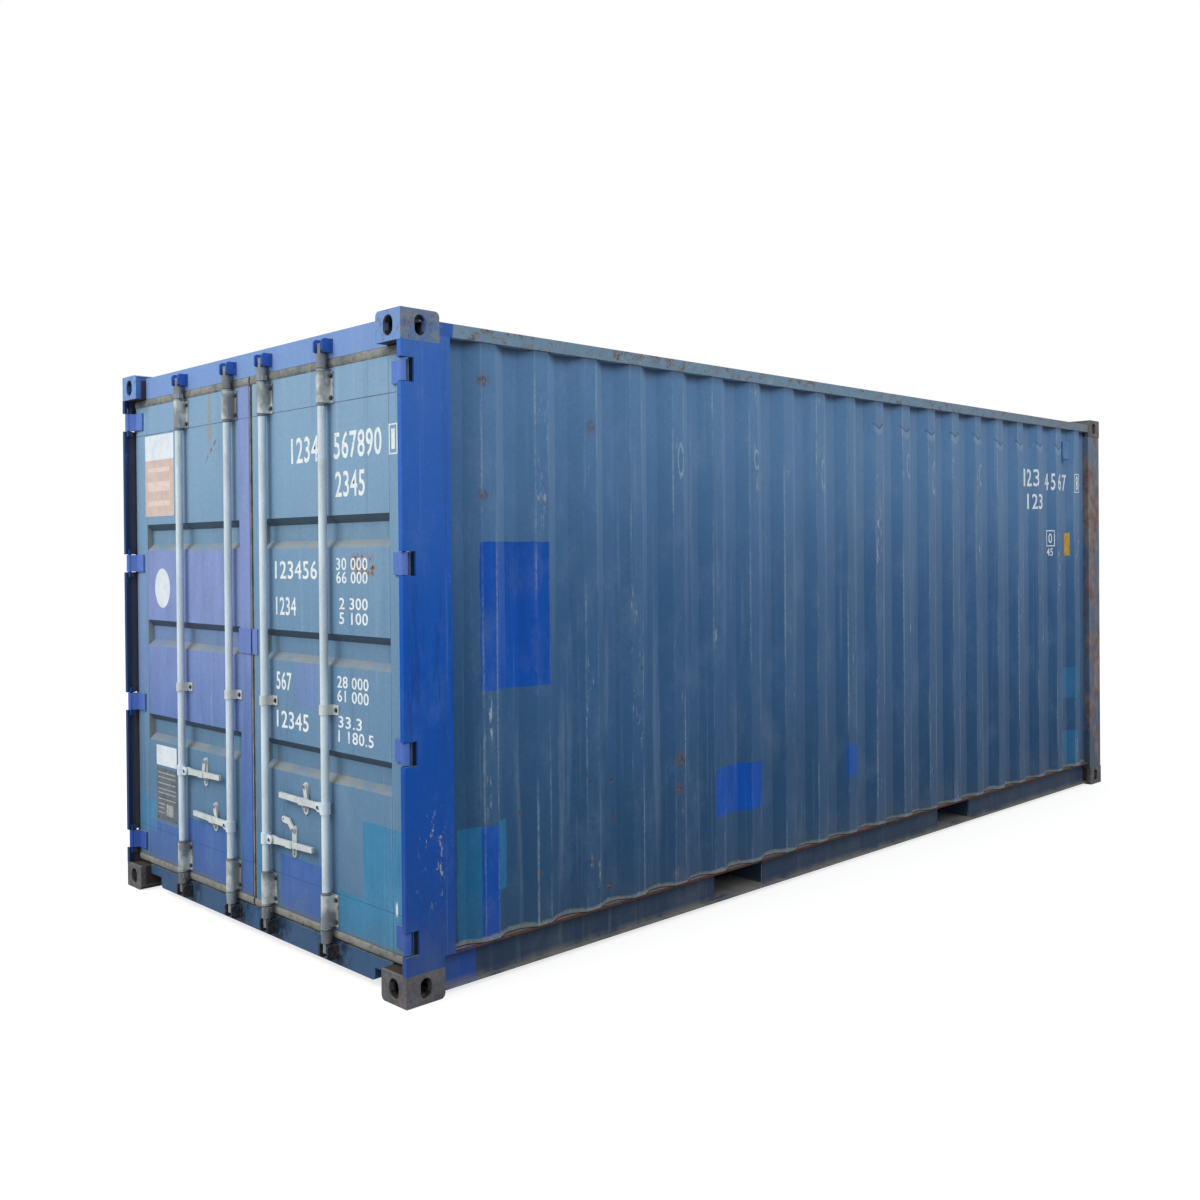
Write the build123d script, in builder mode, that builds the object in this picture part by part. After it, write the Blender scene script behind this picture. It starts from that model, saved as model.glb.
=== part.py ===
"""Standard 20 ft dry freight container with working rear doors.

Millimetres. The doors face -Y, +X is to the right of someone who looks at them,
+Z is up, and the origin is at the middle of the underside.
"""
from build123d import *
import math
import os

# overall size of the container
width = 2438.0
length = 6058.0
height = 2591.0
half_width = width / 2
half_length = length / 2
rear = -half_length

# corner castings
casting_x = 162.0
casting_y = 178.0
casting_z = 118.0
casting_wall = 28.0
casting_edge = 3.0
casting_round = 20.0
pick_reach = 1.0
aperture_long = 124.0
aperture_short = 63.5
end_hole_width = 63.5
side_hole_width = 51.0
hole_height = 79.0
casting_in_x = half_width - casting_x
casting_in_y = half_length - casting_y

# clearances: cuts run past a face by one, welded plates lie the other apart
cut_margin = 1.0
weld_gap = 0.4

# corner posts
post_rear_depth = 227.0
post_lip = 24.0
post_wall = 12.0
post_channel_depth = 112.0
post_inner = 49.0
front_post_arm = 48.0
front_post_wall = 6.0
front_setback = 3.0

# bottom side rails, channels open to the outside
rail_bottom = 16.0
rail_top = 158.0
rail_setback = 6.0
rail_flange_top = 48.0
rail_flange_low = 30.0
rail_wall = 4.5
rail_outer = half_width - rail_setback
rail_web = rail_outer - rail_flange_top
web_in = rail_web - rail_wall

# top side rails, square tubes below the edges of the roof
top_rail_drop = 35.0
top_rail_height = 52.0
top_rail_setback = 4.0
top_rail_width = 60.0
top_rail_wall = 4.0
top_rail_outer = half_width - top_rail_setback
top_rail_high = height - top_rail_drop
top_rail_low = top_rail_high - top_rail_height

# corrugated side walls
sheet = 2.0
side_pitch = 278.0
side_crest = 72.0
side_slope = 68.0
side_depth = 36.0
side_setback = 8.0
side_first_flat = 88.0
side_crest_x = half_width - side_setback
side_valley_x = side_crest_x - side_depth
side_valley = side_pitch - side_crest - 2 * side_slope
side_start = rear + post_rear_depth
side_first = side_start + side_first_flat
side_count = int((casting_in_y - side_first + side_valley) / side_pitch)

# corrugated front wall
front_pitch = 250.0
front_crest = 104.0
front_slope = 21.0
front_depth = 40.0
front_wall_setback = 5.0
front_valley = front_pitch - front_crest - 2 * front_slope
front_count = int((2 * casting_in_x + front_valley) / front_pitch)

# roof with pressed ribs
roof_inset = 32.0
roof_half_width = half_width - roof_inset
rib_spacing = 204.0
rib_inset = 97.0
rib_width = 130.0
rib_height = 20.0
rib_taper = 50.0
rib_count = round(2 * casting_in_y / rib_spacing)

# rear header and sill
header_height = 105.0
header_drop = 16.0
header_stop = 22.0
frame_face = 52.0
stop_face = 114.0
sill_low = 27.0
sill_top = 123.0
sill_notch_width = 118.0
sill_notch_top = 78.0
sill_notch_round = 20.0
header_high = height - header_drop
header_low = header_high - header_height
frame_y = rear + frame_face
stop_y = rear + stop_face
door_opening_half = half_width - post_inner

# floor and understructure
floor_top = 170.0
floor_thickness = 28.0
floor_side_gap = 1.5
floor_gap = 2.0
floor_rows = 3
centre_rail_width = 50.0
member_low = 20.0
member_flange = 45.0
member_wall = 4.0
member_pitch = 272.0
pocket_centre = 1030.0
pocket_width = 360.0
pocket_low = 30.0
pocket_high = 135.0
pocket_wall = 5.0
pocket_strap = 260.0
floor_low = floor_top - floor_thickness

# door leaves
leaf_face = 54.0
leaf_thickness = 50.0
leaf_low = 165.0
leaf_top_gap = 30.0
leaf_side_gap = 31.0
leaf_centre_edge = 16.0
leaf_round = 5.0
stile_hinge = 127.0
stile_centre = 93.0
leaf_rail = 150.0
groove_depth = 28.0
groove_slope = 31.0
groove_height = 130.0
groove_shares = (0.289, 0.497, 0.707)
gasket_lip = 24.0
gasket_centre_lip = 9.0
gasket_side_lip = 10.0
gasket_front = 4.0
gasket_back = 4.0
leaf_high = header_low - leaf_top_gap
leaf_hinge_edge = half_width - leaf_side_gap
leaf_y = rear + leaf_face
leaf_back = leaf_y + leaf_thickness

# hinges
hinge_first = 72.0
hinge_second = 775.0
hinge_third = 795.0
hinge_last = 77.0
hinge_height = 85.0
hinge_pin_inset = 20.0
pin_radius = 8.0
pin_clearance = 0.5
knuckle_radius = 15.0
strap_thickness = 9.0
strap_length = 93.0
strap_neck = 34.0
strap_heel = 5.0
window_gap = 3.0
window_depth = 59.0
window_width = 39.0
lug_height = 25.0
pin_x = half_width - hinge_pin_inset
pin_y = rear + hinge_pin_inset
hinge_levels = (leaf_low + hinge_first, leaf_low + hinge_second,
                leaf_high - hinge_third, leaf_high - hinge_last)

# lock rods with a cam and a spigot at each end
rod_inner = 158.0
rod_outer_inset = 550.0
rod_radius = 17.0
rod_inset = 23.0
rod_clearance = 1.0
cam_radius = 21.0
cam_lobe = 30.0
cam_lobe_height = 22.0
cam_top_start = 9.0
cam_top_end = 48.0
cam_low_drop = 50.0
spigot = 22.0
spigot_length = 42.0
collar_radius = 21.0
collar_height = 7.0
collar_gap = 2.0
rod_y = rear + rod_inset
rod_outer = leaf_hinge_edge - rod_outer_inset
cam_top = (leaf_high - cam_top_start, leaf_high + cam_top_end)
cam_low = (leaf_low - cam_low_drop, leaf_low)

# keepers on the header and the sill
ear_gap = 50.0
ear_thickness = 10.0
ear_reach = 46.0
ear_round = 12.0
keeper_plate = 6.0
keeper_width = 84.0
keeper_margin = 24.0
keeper_top_height = 54.0
keeper_low_height = 58.0

# bearings and clamps of the rods
bearing_width = 85.0
bearing_plate = 6.0
bearing_ring = 22.0
bearing_height = 128.0
bearing_top_gap = 21.0
bearing_low_gap = 14.0
clamp_level = 890.0
clamp_height = 40.0
clamp_reach = 62.0
bearing_levels = (leaf_high - bearing_top_gap - bearing_height, leaf_low + bearing_low_gap)

# handles on the rods
handle_outer_rise = 491.0
handle_inner_rise = 295.0
handle_end_gap = 110.0
handle_thickness = 12.0
handle_half = 13.0
handle_eye = 18.0
handle_taper = 50.0
handle_tilt = 6.0
handle_end_taper = 2.0
pad_width = 36.0
pad_slant = 12.0
pad_thickness = 3.0
hub_pin_offset = 43.0
hub_height = 46.0
hub_slot = 38.0
hub_gap = 3.0
hub_plate = 6.0
hub_head_radius = 9.0
hub_head = 4.0
handle_pin_radius = 6.0
handle_pin_clearance = 0.5
handle_front = rod_y
handle_back = rod_y + handle_thickness
handle_length = rod_outer - rod_inner - handle_end_gap

# catches with their latches
catch_share = 0.52
catch_width = 36.0
catch_plate = 6.0
catch_above = 77.0
catch_below = 57.0
catch_hole = 6.0
catch_hole_drops = (22.0, 42.0)
latch_rise = 60.0
latch_radius = 13.0
latch_knob = 12.0
latch_knob_place = (4.0, -86.0)
latch_bow = ((-13.0, 0.0), (-26.0, -50.0), (-8.0, -86.0), (16.0, -86.0), (12.0, -66.0), (2.0, -48.0),
             (13.0, 0.0))
latch_thickness = 7.0
latch_gap = 0.5
latch_head_radius = 9.0
latch_head = 3.0
latch_swing = 118.0
catch_offset = handle_length * catch_share

# plate across the joint of the two leaves
bridge_rise = 1078.0
bridge_height = 112.0
bridge_left = 115.0
bridge_right = 50.0
bridge_thickness = 5.0

# ventilator boxes on the slope and the valley behind the last crest but one
vent_overlap = 43.0
vent_width = 91.0
vent_drop = 90.0
vent_height = 121.0
vent_setback = 3.0
vent_bevel = 5.0
vent_gap = 0.4

os.makedirs("parts", exist_ok=True)


def save(builder, name):
    """Label a finished piece and write its file."""
    builder.part.label = name
    export_step(builder.part, "parts/" + name + ".step")


def block(x0, x1, y0, y1, z0, z1, mode=Mode.ADD):
    """Plain rectangular piece between two corners."""
    with BuildSketch(Plane.XY.offset(z0)) as outline:
        with Locations(((x0 + x1) / 2, (y0 + y1) / 2)):
            Rectangle(abs(x1 - x0), abs(y1 - y0))
    extrude(outline.sketch, amount=z1 - z0, mode=mode)


def upright(x, y, radius, z0, z1, mode=Mode.ADD):
    """Round bar or hole along Z."""
    with BuildSketch(Plane.XY.offset(z0)) as outline:
        with Locations((x, y)):
            Circle(radius)
    extrude(outline.sketch, amount=z1 - z0, mode=mode)


def facing(y):
    """Upright plane at a given Y that looks at the rear, local x along X and local y along Z."""
    return Plane.XZ.offset(-y)


def along_x(x):
    """Upright plane at a given X, local x along Y and local y along Z."""
    return Plane.YZ.offset(x)


def zigzag(start, count, pitch, crest, slope, high, low):
    """Points of a folded sheet, one crest for each count, from the start of the first rise."""
    points = []
    for index in range(count):
        at = start + index * pitch
        points.append((at, low))
        points.append((at + slope, high))
        points.append((at + slope + crest, high))
        points.append((at + 2 * slope + crest, low))
    return points


def casting(side, end, z0, aperture_z):
    """One hollow corner casting: side and end are the signs of its X and Y."""
    x1 = side * half_width
    y1 = end * half_length
    x0 = side * casting_in_x
    y0 = end * casting_in_y
    with BuildPart() as body:
        block(x0, x1, y0, y1, z0, z0 + casting_z)
        corner = body.edges().filter_by(Axis.Z).sort_by(lambda e: -abs(e.center().X) - abs(e.center().Y))[0]
        outer_z = 0 if z0 == 0 else height
        outer_edges = body.edges().filter_by(lambda e: abs(e.center().Z - outer_z) < pick_reach)
        inner_ends = [e for e in outer_edges
                      if abs(abs(e.center().X) - casting_in_x) < pick_reach
                      or abs(abs(e.center().Y) - casting_in_y) < pick_reach]
        fillet(inner_ends, casting_round)
        fillet(corner, casting_edge)
        block(x0 + side * casting_wall / 2, x1 - side * casting_wall,
              y0 + end * casting_wall / 2, y1 - end * casting_wall,
              z0 + casting_wall, z0 + casting_z - casting_wall, mode=Mode.SUBTRACT)
        with BuildSketch(Plane.XY.offset(aperture_z)):
            with Locations(((x0 + x1) / 2, (y0 + y1) / 2)):
                SlotOverall(aperture_long, aperture_short, rotation=90)
        extrude(amount=casting_wall, mode=Mode.SUBTRACT)
        with BuildSketch(facing(y1)):
            with Locations(((x0 + x1) / 2, z0 + casting_z / 2)):
                SlotOverall(hole_height, end_hole_width, rotation=90)
        extrude(amount=end * casting_wall, mode=Mode.SUBTRACT)
        with BuildSketch(along_x(x1)):
            with Locations(((y0 + y1) / 2, z0 + casting_z / 2)):
                SlotOverall(hole_height, side_hole_width, rotation=90)
        extrude(amount=-side * casting_wall, mode=Mode.SUBTRACT)
    return body.part


def castings(z0, aperture_z):
    """The four castings of one level."""
    with BuildPart() as level:
        for side in (-1, 1):
            for end in (-1, 1):
                add(casting(side, end, z0, aperture_z))
    return level


def mirrored(part):
    """Same piece on the other side of the middle."""
    with BuildPart() as other:
        add(part)
        mirror(about=Plane.YZ, mode=Mode.REPLACE)
    return other


bottom_castings = castings(0, 0)
save(bottom_castings, "bottom_corner_castings")
top_castings = castings(height - casting_z, height - casting_wall)
save(top_castings, "top_corner_castings")


# rear corner posts: a plate with a narrow lip outside, a channel behind the leaf, hinge lugs and pins
def rear_post():
    lip_x = half_width - post_lip
    plate_x = half_width - post_wall
    inner_x = half_width - post_inner
    back = rear + post_rear_depth
    channel_front = back - post_channel_depth
    with BuildPart() as post:
        with BuildSketch(Plane.XY.offset(casting_z)):
            with BuildLine():
                Polyline((lip_x, rear), (half_width, rear), (half_width, back), (inner_x, back),
                         (inner_x, channel_front), (plate_x, channel_front), (plate_x, rear + post_wall),
                         (lip_x, rear + post_wall), close=True)
            make_face()
            with Locations(((inner_x + plate_x) / 2 + post_wall / 4, (channel_front + back) / 2)):
                Rectangle(plate_x - inner_x - post_wall / 2, post_channel_depth - post_wall,
                          mode=Mode.SUBTRACT)
        extrude(amount=top_rail_low - casting_z)
        side_cut = (inner_x - cut_margin, half_width + cut_margin)
        block(*side_cut, -casting_in_y, back + cut_margin, casting_z, rail_top, mode=Mode.SUBTRACT)
        block(*side_cut, rear - cut_margin, -casting_in_y, height - casting_z, top_rail_low,
              mode=Mode.SUBTRACT)
        for level in hinge_levels:
            low = level - hinge_height / 2 - window_gap
            high = level + hinge_height / 2 + window_gap
            block(half_width - window_width, half_width + cut_margin, rear - cut_margin,
                  rear + window_depth, low, high, mode=Mode.SUBTRACT)
            for z0 in (low - lug_height, high):
                block(pin_x - knuckle_radius, plate_x, rear + post_wall, pin_y + knuckle_radius,
                      z0, z0 + lug_height)
            upright(pin_x, pin_y, pin_radius, low - lug_height, high + lug_height)
    return post


right_post = rear_post()
save(right_post, "rear_post_right")
left_post = mirrored(right_post.part)
save(left_post, "rear_post_left")


# front corner posts: pressed angles with hollow arms
def front_post():
    outer_x = half_width - front_setback
    outer_y = half_length - front_setback
    with BuildPart() as post:
        with BuildSketch(Plane.XY.offset(casting_z)):
            with BuildLine():
                Polyline((outer_x, casting_in_y), (outer_x, outer_y), (casting_in_x, outer_y),
                         (casting_in_x, outer_y - front_post_arm),
                         (outer_x - front_post_arm, outer_y - front_post_arm),
                         (outer_x - front_post_arm, casting_in_y), close=True)
            make_face()
            offset(amount=-front_post_wall, mode=Mode.SUBTRACT)
        extrude(amount=height - 2 * casting_z)
    return post


front_right = front_post()
front_left = mirrored(front_right.part)
with BuildPart() as front_posts:
    add(front_right.part)
    add(front_left.part)
save(front_posts, "front_posts")

# rear header: hollow beam between the top castings, with the door stop below it
with BuildPart() as rear_header:
    block(-casting_in_x, casting_in_x, frame_y, -casting_in_y, header_low, header_high)
    block(-casting_in_x, casting_in_x, frame_y + post_wall / 2, -casting_in_y - post_wall / 2,
          header_low + post_wall / 2, header_high - post_wall / 2, mode=Mode.SUBTRACT)
    block(-door_opening_half, door_opening_half, stop_y, -casting_in_y, header_low - header_stop, header_low)
save(rear_header, "rear_header")

# rear sill: beam between the bottom castings, threshold on top and a notch beside each casting
with BuildPart() as rear_sill:
    with BuildSketch(along_x(-casting_in_x)):
        with BuildLine():
            Polyline((frame_y, sill_low), (frame_y, sill_top), (stop_y, sill_top), (stop_y, floor_top),
                     (-casting_in_y, floor_top), (-casting_in_y, sill_low), close=True)
        make_face()
    extrude(amount=2 * casting_in_x)
    block(-door_opening_half, door_opening_half, stop_y, -casting_in_y, casting_z, floor_top)
    for side in (-1, 1):
        block(side * casting_in_x, side * (casting_in_x - sill_notch_width), frame_y, -casting_in_y,
              sill_low, sill_notch_top, mode=Mode.SUBTRACT)
    lower = rear_sill.edges().filter_by(Axis.Y).group_by(Axis.Z)[0]
    fillet(lower, sill_notch_round)
save(rear_sill, "rear_sill")

# front end rails between the front castings
front_back = half_length - front_setback
front_inner = front_back - front_post_arm
with BuildPart() as front_rails:
    with BuildSketch(along_x(-casting_in_x)):
        with BuildLine():
            Polyline((front_inner, top_rail_low), (front_back, top_rail_low), (front_back, header_high),
                     (casting_in_y, header_high), (casting_in_y, top_rail_high),
                     (front_inner, top_rail_high), close=True)
        make_face()
    extrude(amount=2 * casting_in_x)
    with BuildSketch(along_x(-casting_in_x)):
        with BuildLine():
            Polyline((front_inner, sill_low), (front_back, sill_low),
                     (front_back, sill_low + front_post_wall),
                     (front_inner + front_post_wall, sill_low + front_post_wall),
                     (front_inner + front_post_wall, floor_top - front_post_wall),
                     (front_back, floor_top - front_post_wall), (front_back, floor_top),
                     (front_inner, floor_top), close=True)
        make_face()
    extrude(amount=2 * casting_in_x)
save(front_rails, "front_end_rails")

# corrugated front wall
with BuildPart() as front_wall:
    span = front_count * front_pitch - front_valley
    peak = half_length - front_wall_setback
    trough = peak - front_depth
    folds = zigzag(-span / 2, front_count, front_pitch, front_crest, front_slope, peak, trough)
    face_line = [(-casting_in_x, trough)] + folds + [(casting_in_x, trough)]
    inner_line = [(x, y - sheet) for x, y in reversed(face_line)]
    with BuildSketch(Plane.XY.offset(floor_top)):
        with BuildLine():
            Polyline(*face_line, *inner_line, close=True)
        make_face()
    extrude(amount=top_rail_low - floor_top)
save(front_wall, "front_wall")


# corrugated side wall
def side_wall():
    folds = zigzag(side_first, side_count, side_pitch, side_crest, side_slope, side_crest_x, side_valley_x)
    face_line = [(side_start, side_valley_x)] + folds + [(casting_in_y, side_valley_x)]
    inner_line = [(y, x - sheet) for y, x in reversed(face_line)]
    with BuildPart() as wall:
        with BuildSketch(Plane.XY.offset(rail_top)):
            with BuildLine():
                Polyline(*[(x, y) for y, x in face_line + inner_line], close=True)
            make_face()
        extrude(amount=top_rail_low - rail_top)
    return wall


right_wall = side_wall()
save(right_wall, "side_wall_right")
left_wall = mirrored(right_wall.part)
save(left_wall, "side_wall_left")

# top side rails
with BuildPart() as top_rail:
    rail_in = top_rail_outer - top_rail_width
    block(rail_in, top_rail_outer, -casting_in_y, casting_in_y, top_rail_low, top_rail_high)
    block(rail_in + top_rail_wall, top_rail_outer - top_rail_wall, -casting_in_y, casting_in_y,
          top_rail_low + top_rail_wall, top_rail_high - top_rail_wall, mode=Mode.SUBTRACT)
top_rail_left = mirrored(top_rail.part)
with BuildPart() as top_rails:
    add(top_rail.part)
    add(top_rail_left.part)
save(top_rails, "top_side_rails")

# bottom side rails: a length of channel before, between and behind the two fork pockets
pocket_reach = pocket_width / 2 + pocket_wall
with BuildPart() as bottom_rail:
    with BuildSketch(facing(-casting_in_y)):
        with BuildLine():
            Polyline((web_in, rail_bottom), (rail_web + rail_flange_low, rail_bottom),
                     (rail_web + rail_flange_low, rail_bottom + rail_wall),
                     (rail_web, rail_bottom + rail_wall), (rail_web, rail_top - rail_wall),
                     (rail_outer, rail_top - rail_wall), (rail_outer, rail_top), (web_in, rail_top),
                     close=True)
        make_face()
    extrude(amount=-2 * casting_in_y)
    for centre in (-pocket_centre, pocket_centre):
        reach = pocket_reach + weld_gap
        block(web_in - cut_margin, rail_outer + cut_margin, centre - reach, centre + reach,
              rail_bottom - cut_margin, rail_top + cut_margin, mode=Mode.SUBTRACT)
bottom_rail_left = mirrored(bottom_rail.part)
with BuildPart() as bottom_rails:
    add(bottom_rail.part)
    add(bottom_rail_left.part)
save(bottom_rails, "bottom_side_rails")


# fork pockets: side plates, a top plate and end straps, which carry the rail past the opening
def fork_pocket(centre):
    start = centre - pocket_reach
    end = centre + pocket_reach
    with BuildPart() as pocket:
        block(-web_in, web_in, start, end, pocket_high, pocket_high + pocket_wall)
        for side in (-1, 1):
            inner = centre + side * pocket_width / 2
            block(-web_in, web_in, inner, inner + side * pocket_wall, pocket_low + weld_gap,
                  pocket_high - weld_gap)
            block(side * web_in, side * rail_web, start, end, pocket_high, rail_top)
            block(side * rail_web, side * rail_outer, start, end, rail_top - rail_wall, rail_top)
            block(side * (web_in - pocket_strap), side * web_in, start, end, pocket_low - pocket_wall,
                  pocket_low)
            block(side * web_in, side * rail_web, start, end, rail_bottom, pocket_low)
            block(side * rail_web, side * (rail_web + rail_flange_low), start, end, rail_bottom,
                  rail_bottom + rail_wall)
    return pocket


rear_pocket = fork_pocket(-pocket_centre)
save(rear_pocket, "fork_pocket_rear")
front_pocket = fork_pocket(pocket_centre)
save(front_pocket, "fork_pocket_front")

# cross members: channels under the floor, none where a fork pocket runs
member_count = int((2 * casting_in_y - 2 * member_flange) / member_pitch) + 1
with BuildPart() as cross_members:
    for index in range(member_count):
        y = (index - (member_count - 1) / 2) * member_pitch
        reach = pocket_reach + member_flange
        if abs(abs(y) - pocket_centre) < reach:
            continue
        with BuildSketch(along_x(-web_in)):
            with BuildLine():
                Polyline((y, member_low), (y + member_flange, member_low),
                         (y + member_flange, member_low + member_wall),
                         (y + member_wall, member_low + member_wall),
                         (y + member_wall, floor_low - member_wall),
                         (y + member_flange, floor_low - member_wall),
                         (y + member_flange, floor_low), (y, floor_low), close=True)
            make_face()
        extrude(amount=2 * web_in)
save(cross_members, "cross_members")

# plywood floor boards on the cross members, in two rows with a steel strip between them
floor_front = front_inner - floor_gap
floor_rear = -casting_in_y + floor_gap
board_length = (floor_front - floor_rear - (floor_rows - 1) * floor_gap) / floor_rows
with BuildPart() as floor_boards:
    for row in range(floor_rows):
        y0 = floor_rear + row * (board_length + floor_gap)
        for side in (-1, 1):
            block(side * (centre_rail_width / 2 + floor_gap), side * (web_in - floor_side_gap), y0,
                  y0 + board_length, floor_low, floor_top)
save(floor_boards, "floor_boards")
with BuildPart() as floor_strip:
    block(-centre_rail_width / 2, centre_rail_width / 2, floor_rear, floor_front, floor_low, floor_top)
save(floor_strip, "floor_centre_rail")

# roof: one sheet on the top rails, pressed up into ribs that stop short of its edges
with BuildPart() as roof:
    block(-roof_half_width, roof_half_width, -casting_in_y, casting_in_y, top_rail_high,
          top_rail_high + sheet)
    rib_pitch = 2 * casting_in_y / rib_count
    rib_length = 2 * (roof_half_width - rib_inset)
    with BuildSketch(Plane.XY.offset(top_rail_high + sheet)):
        with GridLocations(0, rib_pitch, 1, rib_count):
            Rectangle(rib_length, rib_width)
    extrude(amount=rib_height, taper=rib_taper)
    with BuildSketch(Plane.XY.offset(top_rail_high)):
        with GridLocations(0, rib_pitch, 1, rib_count):
            Rectangle(rib_length, rib_width)
    extrude(amount=rib_height, taper=rib_taper, mode=Mode.SUBTRACT)
save(roof, "roof")

# ventilator boxes, fitted to the folds of the side walls
valley_start = side_first + (side_count - 1) * side_pitch - side_valley
vent_start = valley_start - vent_overlap
vent_end = vent_start + vent_width
vent_face = half_width - vent_setback
slope_x = side_valley_x + side_depth * vent_overlap / side_slope
with BuildPart() as vent:
    with BuildSketch(Plane.XY.offset(top_rail_low - vent_drop - vent_height)):
        with BuildLine():
            Polyline((slope_x + vent_gap, vent_start), (side_valley_x + vent_gap, valley_start),
                     (side_valley_x + vent_gap, vent_end), (vent_face, vent_end),
                     (vent_face, vent_start), close=True)
        make_face()
    extrude(amount=vent_height)
    rim = vent.faces().sort_by(Axis.X)[-1].edges()
    chamfer(rim, vent_bevel)
vent_left = mirrored(vent.part)
with BuildPart() as vents:
    add(vent.part)
    add(vent_left.part)
save(vents, "ventilators")

# keepers of the spigots on the header and the sill: a plate with two rounded ears
keeper_bands = ((header_low + keeper_margin, header_low + keeper_margin + keeper_top_height),
                (sill_low + keeper_margin, sill_low + keeper_margin + keeper_low_height))
with BuildPart() as keepers:
    for x in (-rod_outer, -rod_inner, rod_inner, rod_outer):
        for z0, z1 in keeper_bands:
            block(x - keeper_width / 2, x + keeper_width / 2, frame_y - keeper_plate, frame_y, z0, z1)
            for side in (-1, 1):
                inner = x + side * ear_gap / 2
                block(inner, inner + side * ear_thickness, frame_y - ear_reach, frame_y, z0, z1)
    ear_corners = keepers.edges().filter_by(Axis.X).group_by(Axis.Y)[0]
    fillet(ear_corners, ear_round)
save(keepers, "lock_keepers")


# door leaf frame: stiles and rails round the pressed panel
def leaf_frame():
    with BuildPart() as frame:
        block(leaf_centre_edge, leaf_hinge_edge, leaf_y, leaf_back, leaf_low, leaf_high)
        block(leaf_centre_edge + stile_centre, leaf_hinge_edge - stile_hinge, leaf_y, leaf_back,
              leaf_low + leaf_rail, leaf_high - leaf_rail, mode=Mode.SUBTRACT)
        corners = frame.edges().filter_by(Axis.Z).group_by(Axis.X)
        fillet(corners[0] + corners[-1], leaf_round)
    return frame


def leaf_panel():
    face_line = [(leaf_y, leaf_low + leaf_rail)]
    for share in groove_shares:
        low = leaf_low + share * (leaf_high - leaf_low) - groove_height / 2
        high = low + groove_height
        face_line.append((leaf_y, low))
        face_line.append((leaf_y + groove_depth, low + groove_slope))
        face_line.append((leaf_y + groove_depth, high - groove_slope))
        face_line.append((leaf_y, high))
    face_line.append((leaf_y, leaf_high - leaf_rail))
    inner_line = [(y + sheet, z) for y, z in reversed(face_line)]
    with BuildPart() as panel:
        with BuildSketch(along_x(leaf_centre_edge + stile_centre)):
            with BuildLine():
                Polyline(*face_line, *inner_line, close=True)
            make_face()
        extrude(amount=leaf_hinge_edge - stile_hinge - leaf_centre_edge - stile_centre)
    return panel


def leaf_gasket():
    with BuildPart() as gasket:
        block(leaf_centre_edge - gasket_centre_lip, leaf_hinge_edge + gasket_side_lip,
              leaf_y + gasket_front, leaf_back + gasket_back, leaf_low - gasket_lip, leaf_high + gasket_lip)
        block(leaf_centre_edge, leaf_hinge_edge, leaf_y + gasket_front, leaf_back + gasket_back,
              leaf_low, leaf_high, mode=Mode.SUBTRACT)
    return gasket


def leaf_hinges():
    neck_x = pin_x - strap_neck
    strap_end = leaf_hinge_edge - strap_length
    with BuildPart() as hinges:
        for level in hinge_levels:
            z0 = level - hinge_height / 2
            with BuildSketch(Plane.XY.offset(z0)):
                with BuildLine():
                    Polyline((strap_end, leaf_y), (strap_end, leaf_y - strap_thickness),
                             (neck_x, leaf_y - strap_thickness), (pin_x - knuckle_radius, pin_y),
                             (pin_x, pin_y + knuckle_radius), (leaf_hinge_edge - strap_heel, leaf_y),
                             close=True)
                make_face()
                with Locations((pin_x, pin_y)):
                    Circle(knuckle_radius)
                    Circle(pin_radius + pin_clearance, mode=Mode.SUBTRACT)
            extrude(amount=hinge_height)
    return hinges


def saddle(x, z0, z1):
    """Pressed cover over a rod, round in front and open to the plate behind it."""
    upright(x, rod_y, bearing_ring, z0, z1)
    block(x - bearing_ring, x + bearing_ring, rod_y, leaf_y, z0, z1)
    hollow = rod_radius + rod_clearance
    upright(x, rod_y, hollow, z0, z1, mode=Mode.SUBTRACT)
    block(x - hollow, x + hollow, rod_y, leaf_y - bearing_plate, z0, z1, mode=Mode.SUBTRACT)


def rod_bearings(lug_side):
    """Bearings near the ends of each rod, and the clamps halfway up with their lugs on one side."""
    with BuildPart() as bearings:
        for x in (rod_inner, rod_outer):
            for low in bearing_levels:
                block(x - bearing_width / 2, x + bearing_width / 2, leaf_y - bearing_plate, leaf_y,
                      low, low + bearing_height)
                saddle(x, low, low + bearing_height)
            low = leaf_low + clamp_level - clamp_height / 2
            block(x - lug_side * bearing_ring, x + lug_side * clamp_reach, leaf_y - bearing_plate, leaf_y,
                  low, low + clamp_height)
            saddle(x, low, low + clamp_height)
    return bearings


def handle_place(rod_x):
    """Level of the handle on a rod of the right leaf, and the way it points."""
    if rod_x == rod_outer:
        return leaf_low + handle_outer_rise, -1
    return leaf_low + handle_inner_rise, 1


def catch_plates():
    """Catches on the leaf: an upright plate with two seal holes, and a headed pin for the latch."""
    with BuildPart() as catches:
        for rod_x in (rod_inner, rod_outer):
            level, way = handle_place(rod_x)
            x = rod_x + way * catch_offset
            with BuildSketch(facing(leaf_y)):
                with Locations((x, level + (catch_above - catch_below) / 2)):
                    SlotOverall(catch_above + catch_below, catch_width, rotation=90)
                for drop in catch_hole_drops:
                    with Locations((x, level - drop)):
                        Circle(catch_hole, mode=Mode.SUBTRACT)
            extrude(amount=catch_plate)
            pin_length = latch_thickness + 2 * latch_gap
            with BuildSketch(facing(leaf_y - catch_plate)):
                with Locations((x, level + latch_rise)):
                    Circle(handle_pin_radius)
            extrude(amount=pin_length)
            with BuildSketch(facing(leaf_y - catch_plate - pin_length)):
                with Locations((x, level + latch_rise)):
                    Circle(latch_head_radius)
            extrude(amount=latch_head)
    return catches


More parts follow.
